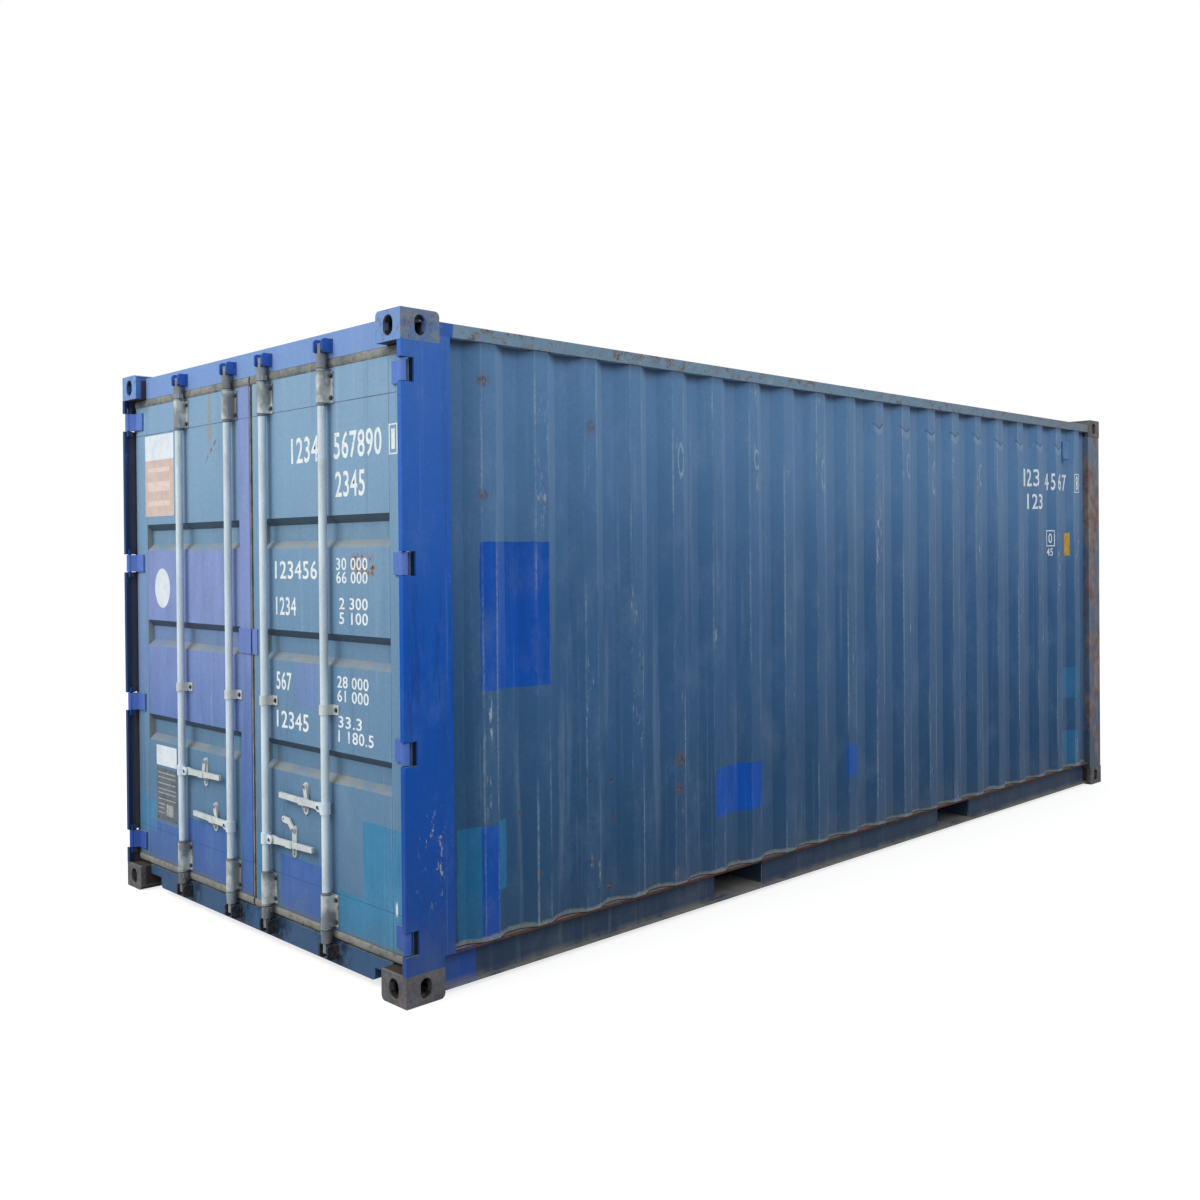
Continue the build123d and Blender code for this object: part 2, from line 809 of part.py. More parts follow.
def lock_rod(rod_x):
    """Rod with its collars, end cams and spigots, and the hub that carries the handle."""
    level, way = handle_place(rod_x)
    with BuildPart() as rod:
        upright(rod_x, rod_y, rod_radius, cam_low[0], cam_top[1])
        for low in bearing_levels:
            for z0 in (low - collar_gap - collar_height, low + bearing_height + collar_gap):
                upright(rod_x, rod_y, collar_radius, z0, z0 + collar_height)
        upright(rod_x, rod_y, cam_radius, *cam_low)
        upright(rod_x, rod_y, cam_radius, *cam_top)
        for z0 in (cam_low[1] - cam_lobe_height, cam_top[0]):
            block(rod_x, rod_x + way * cam_lobe, rod_y - cam_radius / 2, rod_y + cam_radius / 2,
                  z0, z0 + cam_lobe_height)
        half = spigot / 2
        for z0 in (cam_low[0] - spigot_length, cam_top[1]):
            block(rod_x - half, rod_x + half, rod_y - half, rod_y + half, z0, z0 + spigot_length)
        upright(rod_x, rod_y, bearing_ring, level - hub_height / 2, level + hub_height / 2)
        pin_back = handle_back + hub_gap
        plate_back = handle_front - hub_gap
        plate_front = plate_back - hub_plate
        with BuildSketch(facing(plate_back)):
            with Locations((rod_x + way * hub_pin_offset / 2, level)):
                SlotCenterToCenter(hub_pin_offset, hub_slot)
        extrude(amount=hub_plate)
        with BuildSketch(facing(pin_back)):
            with Locations((rod_x + way * hub_pin_offset, level)):
                Circle(handle_pin_radius)
        extrude(amount=pin_back - plate_front)
        with BuildSketch(facing(plate_front)):
            with Locations((rod_x + way * hub_pin_offset, level)):
                Circle(hub_head_radius)
        extrude(amount=hub_head)
    return rod


def handle(rod_x):
    """Flat bar that turns on the hub's pin, with a raised pad where the latch crosses behind it."""
    level, way = handle_place(rod_x)
    pivot = rod_x + way * hub_pin_offset
    taper_x = pivot + way * handle_taper
    end = rod_x + way * handle_length
    tip = level + handle_tilt
    with BuildPart() as bar:
        with BuildSketch(facing(handle_back)):
            with BuildLine():
                Polyline((pivot, level - handle_eye), (pivot, level + handle_eye),
                         (taper_x, level + handle_half), (end, tip + handle_half - handle_end_taper),
                         (end, tip - handle_half + handle_end_taper), (taper_x, level - handle_half),
                         close=True)
            make_face()
            with Locations((pivot, level)):
                Circle(handle_eye)
                Circle(handle_pin_radius + handle_pin_clearance, mode=Mode.SUBTRACT)
        extrude(amount=handle_thickness)
        near = rod_x + way * (catch_offset - pad_width / 2)
        far = rod_x + way * (catch_offset + pad_width / 2)
        with BuildSketch(facing(handle_front)):
            with BuildLine():
                Polyline((near - way * pad_slant, level - handle_half),
                         (near + way * pad_slant, level + handle_half), (far, level + handle_half),
                         (far, level - handle_half), close=True)
            make_face()
        extrude(amount=pad_thickness)
    return bar


def latch(rod_x, swing):
    """Bowed latch between the catch and the handle, turned by swing from hanging down."""
    level, way = handle_place(rod_x)
    x = rod_x + way * catch_offset
    turn = math.radians(swing)
    with BuildPart() as piece:
        with BuildSketch(Plane(origin=(x, leaf_y - catch_plate - latch_gap, level + latch_rise),
                               x_dir=(math.cos(turn), 0, math.sin(turn)), z_dir=(0, -1, 0))):
            with BuildLine():
                Polyline(*[(way * along, down) for along, down in latch_bow], close=True)
            make_face()
            Circle(latch_radius)
            with Locations((way * latch_knob_place[0], latch_knob_place[1])):
                Circle(latch_knob)
                Circle(catch_hole, mode=Mode.SUBTRACT)
            Circle(handle_pin_radius + handle_pin_clearance, mode=Mode.SUBTRACT)
        extrude(amount=latch_thickness)
    return piece


def bridge(reach):
    with BuildPart() as plate:
        low = leaf_low + bridge_rise
        block(leaf_centre_edge - gasket_centre_lip, reach, leaf_y - bridge_thickness, leaf_y,
              low, low + bridge_height)
    return plate


def save_pair(builder, name):
    """Write a piece of the right leaf and its mirror image on the left leaf."""
    save(builder, "right_" + name)
    other = mirrored(builder.part)
    save(other, "left_" + name)


save_pair(leaf_frame(), "door_frame")
save_pair(leaf_panel(), "door_panel")
save_pair(leaf_gasket(), "door_gasket")
save_pair(leaf_hinges(), "door_hinges")
save(rod_bearings(1), "right_rod_bearings")
save(mirrored(rod_bearings(-1).part), "left_rod_bearings")
save_pair(catch_plates(), "handle_catches")
save(bridge(bridge_right), "right_bridge_plate")
save(mirrored(bridge(bridge_left).part), "left_bridge_plate")
for rod_name, rod_place in (("inner", rod_inner), ("outer", rod_outer)):
    save_pair(lock_rod(rod_place), rod_name + "_lock_rod")
    save_pair(handle(rod_place), rod_name + "_handle")
save_pair(latch(rod_outer, 0), "outer_latch")
save(mirrored(latch(rod_inner, 0).part), "left_inner_latch")
save(latch(rod_inner, -latch_swing), "right_inner_latch")
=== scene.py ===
"""Looks of the freight container: camera, light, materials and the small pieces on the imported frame."""
import math
import random

import bmesh
import bpy
from mathutils import Matrix, Vector


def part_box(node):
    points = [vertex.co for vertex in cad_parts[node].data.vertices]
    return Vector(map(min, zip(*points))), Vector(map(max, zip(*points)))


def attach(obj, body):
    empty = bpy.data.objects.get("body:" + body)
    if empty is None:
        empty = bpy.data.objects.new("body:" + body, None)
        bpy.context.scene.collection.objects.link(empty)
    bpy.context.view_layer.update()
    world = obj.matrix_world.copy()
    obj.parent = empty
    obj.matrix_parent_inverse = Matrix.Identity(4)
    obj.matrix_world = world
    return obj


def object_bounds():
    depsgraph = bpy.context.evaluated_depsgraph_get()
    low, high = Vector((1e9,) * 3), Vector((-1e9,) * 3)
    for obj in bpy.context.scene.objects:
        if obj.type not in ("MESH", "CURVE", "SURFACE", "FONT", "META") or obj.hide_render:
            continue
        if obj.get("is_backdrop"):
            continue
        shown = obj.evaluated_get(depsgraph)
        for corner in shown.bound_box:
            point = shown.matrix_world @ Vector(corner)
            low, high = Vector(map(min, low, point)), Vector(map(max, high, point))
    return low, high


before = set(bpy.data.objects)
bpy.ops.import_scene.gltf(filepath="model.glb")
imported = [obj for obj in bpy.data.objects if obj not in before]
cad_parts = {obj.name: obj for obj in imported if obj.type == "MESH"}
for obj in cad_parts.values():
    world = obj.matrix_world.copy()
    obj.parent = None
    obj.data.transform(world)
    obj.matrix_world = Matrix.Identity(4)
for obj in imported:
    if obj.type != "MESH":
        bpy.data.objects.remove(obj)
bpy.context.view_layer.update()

random.seed(7)
scene = bpy.context.scene
scene.view_settings.view_transform = "Standard"

# camera at the photograph's place: turns in degrees, eye in metres, focal length and centre row in pixels
PHOTO_SIZE = 1200.0
FOCAL = 1204.6255
CENTRE_ROW = 560.2511
FILM = 36.0
EYE = (4.8826, -5.6113, 1.68)
AZIMUTH, ELEVATION, ROLL = (math.radians(v) for v in (45.5105, 0.3682, -0.4796))
back = Vector((math.sin(AZIMUTH) * math.cos(ELEVATION), -math.cos(AZIMUTH) * math.cos(ELEVATION),
               math.sin(ELEVATION)))
side = Vector((0, 0, 1)).cross(back).normalized()
up = back.cross(side)
side, up = (math.cos(ROLL) * side + math.sin(ROLL) * up, math.cos(ROLL) * up - math.sin(ROLL) * side)
camera_data = bpy.data.cameras.new("camera")
camera_data.sensor_width = FILM
camera_data.lens = FILM * FOCAL / PHOTO_SIZE
camera_data.shift_y = (CENTRE_ROW - PHOTO_SIZE / 2) / PHOTO_SIZE
camera = bpy.data.objects.new("camera", camera_data)
camera.matrix_world = Matrix.Translation(EYE) @ Matrix((side, up, back)).transposed().to_4x4()
scene.collection.objects.link(camera)
scene.camera = camera

# places on the CAD, in metres
HALF_WIDTH, HALF_LENGTH, HEIGHT = 1.219, 3.029, 2.591
LEAVES = (("left", -1), ("right", 1))
REARWARD = (0, -1, 0)
LEAF_Y = -2.975
BEARING_PLATE = 0.006
BEARING_LOWS = (2.291, 0.179)
CLAMP_BOLT_Z = 1.055
HUB_HEAD_Y = -3.019
# rods from the middle, the levels of their handles and the way that each handle points
ROD_X = {"outer": 0.638, "inner": 0.158}
LEVEL = {"outer": 0.656, "inner": 0.460}
WAY = {"outer": -1, "inner": 1}
# pins of the hub and the catch from the rod, and the catch pin's rise over the handle
HUB = 0.043
CATCH = 0.1924
RISE = 0.060
PIN_RADIUS = 0.0085
# folds of the side wall along its length, and the faces of its crests and valleys
FIRST_RISE, PITCH, SLOPE, CREST = -2.714, 0.278, 0.068, 0.072
CREST_X, VALLEY_X = 1.211, 1.175
ROOF_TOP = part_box("roof")[1][2]


def srgb(r, g, b):
    """Screen colour of 0 to 255 as a linear colour."""
    return tuple(((c / 255 + 0.055) / 1.055) ** 2.4 if c > 10 else c / 255 / 12.92 for c in (r, g, b)) + (1,)


def dim(colour, factor):
    return tuple(c * factor for c in colour[:3]) + (1,)


class Look:
    """A material and short calls for its nodes."""

    def __init__(self, name):
        self.material = bpy.data.materials.new(name)
        self.material.use_nodes = True
        self.tree = self.material.node_tree
        self.tree.nodes.clear()
        out = self.node("ShaderNodeOutputMaterial")
        self.shader = self.node("ShaderNodeBsdfPrincipled")
        self.link(self.shader.outputs[0], out.inputs[0])
        place = self.node("ShaderNodeTexCoord")
        self.pos = place.outputs["Object"]
        self.x, self.y, self.z = self.split(self.pos)
        self.nx, self.ny, self.nz = self.split(place.outputs["Normal"])

    def node(self, kind, **options):
        made = self.tree.nodes.new(kind)
        for key, value in options.items():
            setattr(made, key, value)
        return made

    def link(self, a, b):
        self.tree.links.new(a, b)

    def put(self, socket, value):
        if isinstance(value, bpy.types.NodeSocket):
            self.link(value, socket)
        else:
            socket.default_value = value

    def split(self, vector):
        made = self.node("ShaderNodeSeparateXYZ")
        self.link(vector, made.inputs[0])
        return made.outputs[0], made.outputs[1], made.outputs[2]

    def math(self, operation, a, b=0.0, clamp=False):
        made = self.node("ShaderNodeMath", operation=operation, use_clamp=clamp)
        self.put(made.inputs[0], a)
        self.put(made.inputs[1], b)
        return made.outputs[0]

    def times(self, *values):
        out = values[0]
        for value in values[1:]:
            out = self.math("MULTIPLY", out, value)
        return out

    def size(self, value):
        return self.math("ABSOLUTE", value)

    def sway(self, value, spread):
        """Noise of nought to one as a swing of half the spread to either side."""
        return self.math("MULTIPLY", self.math("SUBTRACT", value, 0.5), spread)

    def length(self, u, v):
        return self.math("SQRT", self.math("ADD", self.times(u, u), self.times(v, v)))

    def most(self, *values):
        out = values[0]
        for value in values[1:]:
            out = self.math("MAXIMUM", out, value)
        return out

    def ramp(self, value, low, high, a=0.0, b=1.0):
        """Smooth step of value from low to high, given as a to b."""
        made = self.node("ShaderNodeMapRange", interpolation_type="SMOOTHSTEP", clamp=True)
        if low > high:
            low, high, a, b = high, low, b, a
        for socket, given in zip(made.inputs, (value, low, high, a, b)):
            self.put(socket, given)
        return made.outputs[0]

    def band(self, value, low, high, soft=0.003):
        """One between low and high, else nought."""
        return self.times(self.ramp(value, low - soft, low + soft), self.ramp(value, high + soft, high - soft))

    def noise(self, scale, detail=4.0, rough=0.6, stretch=(1, 1, 1), shift=0.0, warp=0.0):
        move = self.node("ShaderNodeMapping")
        self.link(self.pos, move.inputs[0])
        move.inputs["Location"].default_value = (shift, shift * 1.7, shift * 0.6)
        move.inputs["Scale"].default_value = stretch
        made = self.node("ShaderNodeTexNoise")
        self.link(move.outputs[0], made.inputs["Vector"])
        made.inputs["Scale"].default_value = scale
        made.inputs["Detail"].default_value = detail
        made.inputs["Roughness"].default_value = rough
        made.inputs["Distortion"].default_value = warp
        return made.outputs["Fac"]

    def mix(self, share, a, b, blend="MIX"):
        made = self.node("ShaderNodeMix", data_type="RGBA", blend_type=blend)
        made.clamp_factor = True
        self.put(made.inputs[0], share)
        self.put(made.inputs[6], a)
        self.put(made.inputs[7], b)
        return made.outputs[2]

    def fold(self, value, start, pitch):
        """Distance of value along its own repeat."""
        turns = self.math("FRACT", self.math("DIVIDE", self.math("SUBTRACT", value, start), pitch))
        return self.math("MULTIPLY", turns, pitch)

    def disc(self, u, v, u0, v0, radius, soft=0.0015):
        du, dv = self.math("SUBTRACT", u, u0), self.math("SUBTRACT", v, v0)
        return self.ramp(self.length(du, dv), radius + soft, radius - soft)

    def finish(self, colour, rough, metal=0.0, height=None, depth=0.001, strength=0.6, gloss=0.06):
        self.put(self.shader.inputs["Base Color"], colour)
        self.put(self.shader.inputs["Roughness"], rough)
        self.put(self.shader.inputs["Metallic"], metal)
        self.put(self.shader.inputs["Specular IOR Level"], gloss)
        if height is not None:
            bump = self.node("ShaderNodeBump")
            bump.inputs["Strength"].default_value = strength
            bump.inputs["Distance"].default_value = depth
            self.link(height, bump.inputs["Height"])
            self.link(bump.outputs[0], self.shader.inputs["Normal"])
        return self.material


RUST = srgb(104, 66, 46)
# the dark rust and the grime colours serve real rust and grime and also painted shade: under the top rail, in the
# creases and on the leaves' faces that look down
RUST_DARK_AND_SHADE = srgb(58, 44, 40)
PINK_RUST = srgb(160, 120, 100)
DUST = srgb(138, 136, 128)
GRIME_AND_SHADE = srgb(44, 50, 56)
PALE = srgb(176, 196, 206)


def right_half(m):
    return m.ramp(m.x, 0.0, 0.01)


def outwards(m):
    """Above nought on faces of a side wall that look outwards, below it on the others."""
    return m.times(m.nx, m.math("SIGN", m.x))


def facing_inwards(m):
    """Faces of a side wall that look inwards."""
    return m.ramp(outwards(m), 0.05, -0.05)


def rusty(m, fine):
    return m.mix(m.ramp(fine, 0.3, 0.7), RUST, RUST_DARK_AND_SHADE)


def weathered(name, low, middle, top, patches=(), extra=None, streaks=0.35, rust=0.3, chalk=0.3, inside=None,
              dust=0.8):
    """Old paint: faded areas, runs, scratches, patches of later paint, rust spots, dust and grime, over painted shade:
    the low, middle and top colours make the paint darker at the foot and lighter at the top.
    """
    m = Look(name)
    fade = m.noise(0.9, 5, 0.6, shift=3.1)
    fine = m.noise(60, 5, 0.7, shift=1.3)
    runs = m.noise(1.0, 5, 0.65, stretch=(16, 16, 0.6), shift=5.0)
    cloud = m.noise(5.0, 6, 0.7, stretch=(1, 1, 0.6), shift=9.0)
    # painted shade: height with a little noise, which runs the colour from low at the foot through middle to top,
    # darker below and lighter above as sky light falls
    painted_shade_height = m.math("ADD", m.z, m.sway(fade, 0.9))
    colour = m.mix(m.ramp(painted_shade_height, 0.2, 1.3), low, middle)
    colour = m.mix(m.ramp(painted_shade_height, 1.2, 2.45), colour, top)
    wobble = m.sway(m.noise(9, 2, shift=2.0), 0.014)
    brushed = m.ramp(m.noise(7, 6, 0.7, stretch=(1, 1, 0.35), shift=48.0), 0.3, 0.7, 0.88, 1.08)
    for axis, (u0, u1, v0, v1), patch_low, patch_top, share in patches:
        u = m.math("ADD", {"x": m.x, "y": m.y}[axis], wobble)
        v = m.math("SUBTRACT", m.z, wobble)
        mask = m.times(m.band(u, u0, u1, 0.002), m.band(v, v0, v1, 0.002))
        if axis == "y":
            mask = m.times(mask, right_half(m))
        # painted shade on the patches too: patch_low at the foot, patch_top higher up
        shade = patch_low if patch_top is None else m.mix(m.ramp(m.z, 0.3, 1.6), patch_low, patch_top)
        colour = m.mix(m.times(mask, share), colour, m.mix(1.0, shade, brushed, "MULTIPLY"))
    if inside is not None:
        inner = inside(m)
        colour = m.mix(inner, colour, m.mix(m.ramp(fade, 0.35, 0.65), srgb(140, 148, 150), srgb(158, 165, 166)))
        scuff = m.ramp(m.noise(2.8, 8, 0.8, stretch=(1, 1, 2.5), shift=37.0), 0.58, 0.64)
        colour = m.mix(m.times(inner, scuff, m.ramp(m.z, 1.8, 0.9), 0.5), colour, srgb(94, 92, 88))
    colour = m.mix(m.times(m.ramp(cloud, 0.45, 0.75), chalk), colour, m.mix(0.4, colour, srgb(150, 172, 190)))
    colour = m.mix(m.times(m.ramp(runs, 0.54, 0.78), streaks), colour, m.mix(0.45, colour, GRIME_AND_SHADE))
    colour = m.mix(m.times(m.ramp(runs, 0.42, 0.27), streaks), colour, m.mix(0.30, colour, PALE))
    lines = m.noise(1.0, 3, 0.7, stretch=(70, 70, 0.5), shift=15.0)
    colour = m.mix(m.times(m.ramp(lines, 0.60, 0.74), streaks * 0.8), colour, m.mix(0.30, colour, PALE))
    colour = m.mix(1.0, colour, m.ramp(fine, 0.3, 0.75, 0.93, 1.05), "MULTIPLY")
    foot = m.times(m.ramp(m.z, 0.40, 0.08), m.ramp(cloud, 0.2, 0.8, 0.3, 0.8))
    colour = m.mix(foot, colour, m.mix(0.4, colour, srgb(88, 88, 82)))
    spots = m.times(m.ramp(m.noise(8.5, 8, 0.75, shift=12.0), 0.655, 0.70),
                    m.ramp(m.noise(1.3, 2, shift=4.4), 0.45, 0.62), rust)
    colour = m.mix(spots, colour, m.mix(m.ramp(fine, 0.35, 0.65), RUST, RUST_DARK_AND_SHADE))
    scratch = m.ramp(m.noise(3.0, 7, 0.75, stretch=(9, 9, 1.6), shift=21.0), 0.725, 0.75)
    colour = m.mix(m.times(scratch, 0.45), colour, srgb(180, 186, 184))
    ledge = m.times(m.ramp(m.nz, 0.35, 0.9), m.ramp(cloud, 0.2, 0.7, 0.5, 1.0), dust)
    colour = m.mix(ledge, colour, m.mix(0.25, DUST, colour))
    worn = spots
    if extra is not None:
        colour, worn = extra(m, colour, cloud, fine, spots)
    rough = m.math("ADD", m.ramp(cloud, 0.3, 0.7, 0.46, 0.60), m.math("MULTIPLY", worn, 0.3), True)
    swell = m.noise(2.2, 3, 0.5, stretch=(1, 1, 0.8), shift=30.0)
    height = m.math("ADD", m.math("MULTIPLY", swell, 6.0),
                    m.math("ADD", m.math("MULTIPLY", fine, 0.12), m.math("MULTIPLY", worn, 0.25)))
    return m.finish(colour, rough, 0.0, height, 0.0016, 0.55)


# dents and scrapes on the right side: place along it, height, and radius or half height
DENTS = ((-2.08, 0.71, 0.010), (-1.91, 0.69, 0.012), (-1.83, 0.65, 0.008), (-1.90, 0.53, 0.013), (-2.07, 0.53, 0.009),
         (-2.07, 0.37, 0.014), (-1.93, 0.23, 0.013), (-2.36, 0.37, 0.015), (-2.29, 0.51, 0.011), (-2.44, 0.63, 0.009),
         (-1.746, 1.17, 0.010), (-2.634, 2.36, 0.026), (-2.054, 2.21, 0.024), (-2.640, 1.91, 0.020),
         (-1.498, 0.73, 0.030), (-1.51, 0.60, 0.026))
SCRAPES = ((-1.48, 2.10, 0.085), (-0.92, 2.13, 0.05), (-0.36, 2.08, 0.09), (0.475, 2.16, 0.07),
           (0.753, 2.10, 0.10), (1.309, 2.14, 0.07))
SCRAPE_HALF_WIDTH = 0.021
CREASE_Z = 2.352
CREASED_Y = (0.10, 2.46)


def side_details(m, colour, cloud, fine, spots):
    """Rubbed folds and crests with a painted highlight on their edges, bumped creases under the top rail with a
    painted highlight and shade, rust at the seams, and painted light: a highlight on the forward slopes, a sheen on
    the flats, shade beside the rear post and a shadow under the top rail.
    """
    out = m.ramp(m.size(m.x), 1.2085, 1.2105)
    along = m.fold(m.y, FIRST_RISE, PITCH)
    outer = m.ramp(outwards(m), -0.05, 0.05)
    # painted highlight: the slopes that face forward are lightened, more so higher up, as if lit from the front
    forward_slope_highlight = m.times(m.ramp(m.ny, 0.2, 0.4), outer, m.ramp(m.z, 0.8, 2.2))
    colour = m.mix(m.times(forward_slope_highlight, 0.2), colour, srgb(138, 168, 198))
    # painted reflection: the crests, valleys and forward slopes turn greyer towards the front end and higher up, a
    # sheen seen at a grazing angle
    grazing_sheen = m.times(m.ramp(m.ny, -0.2, -0.1), outer, m.ramp(m.y, -2.4, 1.0, 0.0, 0.20), m.ramp(m.z, 0.5, 2.2, 0.5, 1.0))
    colour = m.mix(grazing_sheen, colour, srgb(128, 142, 158))
    shaded = m.times(m.ramp(m.y, -2.60, -2.72), outer)
    colour = m.mix(m.times(shaded, 0.45), colour, m.mix(1.0, colour, srgb(170, 196, 208), "MULTIPLY"))
    dents = m.most(*(m.disc(m.y, m.z, y0, z0, radius, radius * 0.8) for y0, z0, radius in DENTS))
    dents = m.times(dents, outer, right_half(m), m.ramp(m.noise(70, 6, 0.8, shift=3.0), 0.42, 0.56))
    colour = m.mix(m.times(dents, 0.85), colour, m.mix(m.ramp(fine, 0.4, 0.6), srgb(128, 92, 70), RUST_DARK_AND_SHADE))
    # pale lines on the fold edges: partly a painted highlight where the folds catch the light, partly rubbed paint
    edge = m.most(m.band(along, SLOPE - 0.004, SLOPE + 0.005, 0.003),
                  m.band(along, SLOPE + CREST - 0.005, SLOPE + CREST + 0.004, 0.003))
    edge_highlight_and_wear = m.times(edge, outer, m.ramp(m.noise(2.4, 6, 0.7, stretch=(3.6, 3.6, 0.5), shift=61.0), 0.44, 0.62))
    colour = m.mix(m.times(edge_highlight_and_wear, m.ramp(fine, 0.35, 0.6, 0.35, 1.0), 0.30), colour, PALE)
    rub = m.noise(2.6, 7, 0.75, stretch=(3.6, 3.6, 0.5), shift=41.0)
    speck = m.ramp(m.noise(42, 5, 0.75, stretch=(1, 1, 0.35), shift=8.0), 0.50, 0.62)
    pale = m.times(out, m.ramp(rub, 0.57, 0.66), speck)
    colour = m.mix(m.times(pale, 0.75), colour, srgb(176, 182, 182))
    rings = []
    for y0, z0, half in SCRAPES:
        du = m.math("DIVIDE", m.math("SUBTRACT", m.y, y0), SCRAPE_HALF_WIDTH)
        dv = m.math("DIVIDE", m.math("SUBTRACT", m.z, z0), half)
        rings.append(m.band(m.length(du, dv), 0.70, 0.98, 0.12))
    loops = m.times(m.most(*rings), out, right_half(m), m.ramp(fine, 0.36, 0.56))
    colour = m.mix(m.times(loops, 0.7), colour, srgb(150, 178, 190))
    bare = m.times(out, m.ramp(m.noise(4.2, 8, 0.8, stretch=(2.6, 2.6, 0.45), shift=52.0), 0.66, 0.71))
    colour = m.mix(m.times(bare, 0.85), colour, m.mix(m.ramp(fine, 0.4, 0.6), PINK_RUST, rusty(m, fine)))
    lean = m.math("MULTIPLY", m.size(m.math("SUBTRACT", along, SLOPE + CREST / 2)), 0.55)
    waver = m.sway(m.noise(2.7, 3, 0.6, shift=29.0), 0.09)
    line = m.math("SUBTRACT", m.math("SUBTRACT", m.z, m.math("ADD", waver, CREASE_Z)), lean)
    creased = m.times(m.band(m.y, *CREASED_Y, 0.02), outer, right_half(m))
    # painted highlight on the bent face under each crease
    crease_highlight = m.times(m.band(line, -0.040, -0.002, 0.008), m.band(along, 0.060, 0.148, 0.006), creased)
    colour = m.mix(m.times(crease_highlight, 0.4), colour, srgb(136, 162, 184))
    # the crease line: grime and rust in the fold together with painted shade
    crease = m.times(m.band(line, -0.004, 0.006, 0.006), m.band(along, 0.048, 0.160, 0.01), creased,
                     m.ramp(cloud, 0.3, 0.6, 0.4, 1.0))
    colour = m.mix(m.times(crease, 0.6), colour, m.mix(m.ramp(fine, 0.45, 0.6), GRIME_AND_SHADE, RUST))
    # painted shadow: the wall just under the top rail is darkened towards the dark rust colour
    under = m.times(m.ramp(m.z, 2.455, 2.504), outer)
    colour = m.mix(m.times(under, 0.75), colour, m.mix(0.6, colour, RUST_DARK_AND_SHADE))
    foot = m.times(m.ramp(m.math("ADD", m.z, m.sway(cloud, 0.06)), 0.183, 0.170), outer)
    colour = m.mix(m.times(foot, 0.8), colour, m.mix(m.ramp(fine, 0.35, 0.6), srgb(92, 122, 140), DUST))
    seam = m.times(m.ramp(m.z, 0.164, 0.160), outer)
    colour = m.mix(seam, colour, RUST_DARK_AND_SHADE)
    return colour, m.most(spots, bare, crease, dents)


def rail_details(m, colour, cloud, fine, spots):
    """Chipped rail: rust freckles and pale rubbing, more to the front."""
    chips = m.ramp(m.noise(15, 8, 0.82, stretch=(1, 1, 1.4), shift=3.0), 0.52, 0.58)
    freckle = m.times(chips, m.ramp(m.noise(1.4, 3, shift=7.0), 0.35, 0.62, 0.25, 0.95))
    colour = m.mix(freckle, colour, m.mix(m.ramp(fine, 0.4, 0.65), srgb(140, 116, 104), RUST_DARK_AND_SHADE))
    rub = m.ramp(m.noise(11, 7, 0.8, stretch=(1, 0.4, 1), shift=17.0), 0.60, 0.68)
    colour = m.mix(m.times(rub, 0.5), colour, srgb(170, 180, 186))
    colour = m.mix(m.ramp(m.y, 0.3, 2.9, 0.0, 0.45), colour, srgb(112, 112, 112))
    return colour, m.most(spots, freckle)


def front_post_details(m, colour, cloud, fine, spots):
    """Faded paint eaten by grey-brown rust in long runs and patches."""
    eaten = m.ramp(m.noise(3.2, 8, 0.75, stretch=(1.6, 1.6, 0.6), shift=13.0), 0.42, 0.57)
    brown = m.mix(m.ramp(m.noise(9, 7, 0.8, shift=19.0), 0.4, 0.62), srgb(142, 126, 118), srgb(112, 84, 72))
    colour = m.mix(m.times(eaten, 0.85), colour, brown)
    rub = m.ramp(m.noise(11, 7, 0.8, stretch=(1, 1, 0.5), shift=17.0), 0.60, 0.68)
    colour = m.mix(m.times(rub, 0.5), colour, srgb(168, 172, 172))
    return colour, m.most(spots, m.times(eaten, 0.7))


def roof_details(m, colour, cloud, fine, spots):
    """Dirt in the troughs, rust round dents and the long scrapes of lifting gear."""
    up = m.ramp(m.nz, 0.3, 0.8)
    trough = m.times(m.ramp(m.z, ROOF_TOP - 0.004, ROOF_TOP - 0.016), up)
    colour = m.mix(m.times(trough, m.ramp(cloud, 0.3, 0.65, 0.15, 0.65)), colour, m.mix(0.5, DUST, GRIME_AND_SHADE))
    area = m.noise(3.4, 8, 0.75, shift=14.0)
    colour = m.mix(m.times(m.ramp(area, 0.53, 0.61), up, 0.35), colour, srgb(124, 112, 100))
    rust = m.times(m.ramp(area, 0.595, 0.65), up)
    colour = m.mix(m.times(rust, 0.85), colour, rusty(m, fine))
    scrape = m.times(m.ramp(m.noise(2.2, 6, 0.75, stretch=(9, 0.5, 1), shift=24.0), 0.64, 0.70), up)
    colour = m.mix(m.times(scrape, 0.5), colour, srgb(176, 186, 190))
    return colour, m.most(spots, rust)


def low_rail_details(m, colour, cloud, fine, spots):
    """Dull and dusty, with a rust line along the upper edge."""
    line = m.times(m.ramp(m.z, 0.146, 0.152), m.ramp(m.size(m.x), 1.19, 1.20),
                   m.ramp(cloud, 0.25, 0.5, 0.5, 0.95))
    colour = m.mix(line, colour, rusty(m, fine))
    dusty = m.times(m.ramp(m.z, 0.05, 0.018), m.ramp(cloud, 0.3, 0.6), 0.5)
    colour = m.mix(dusty, colour, DUST)
    return colour, m.most(spots, line)


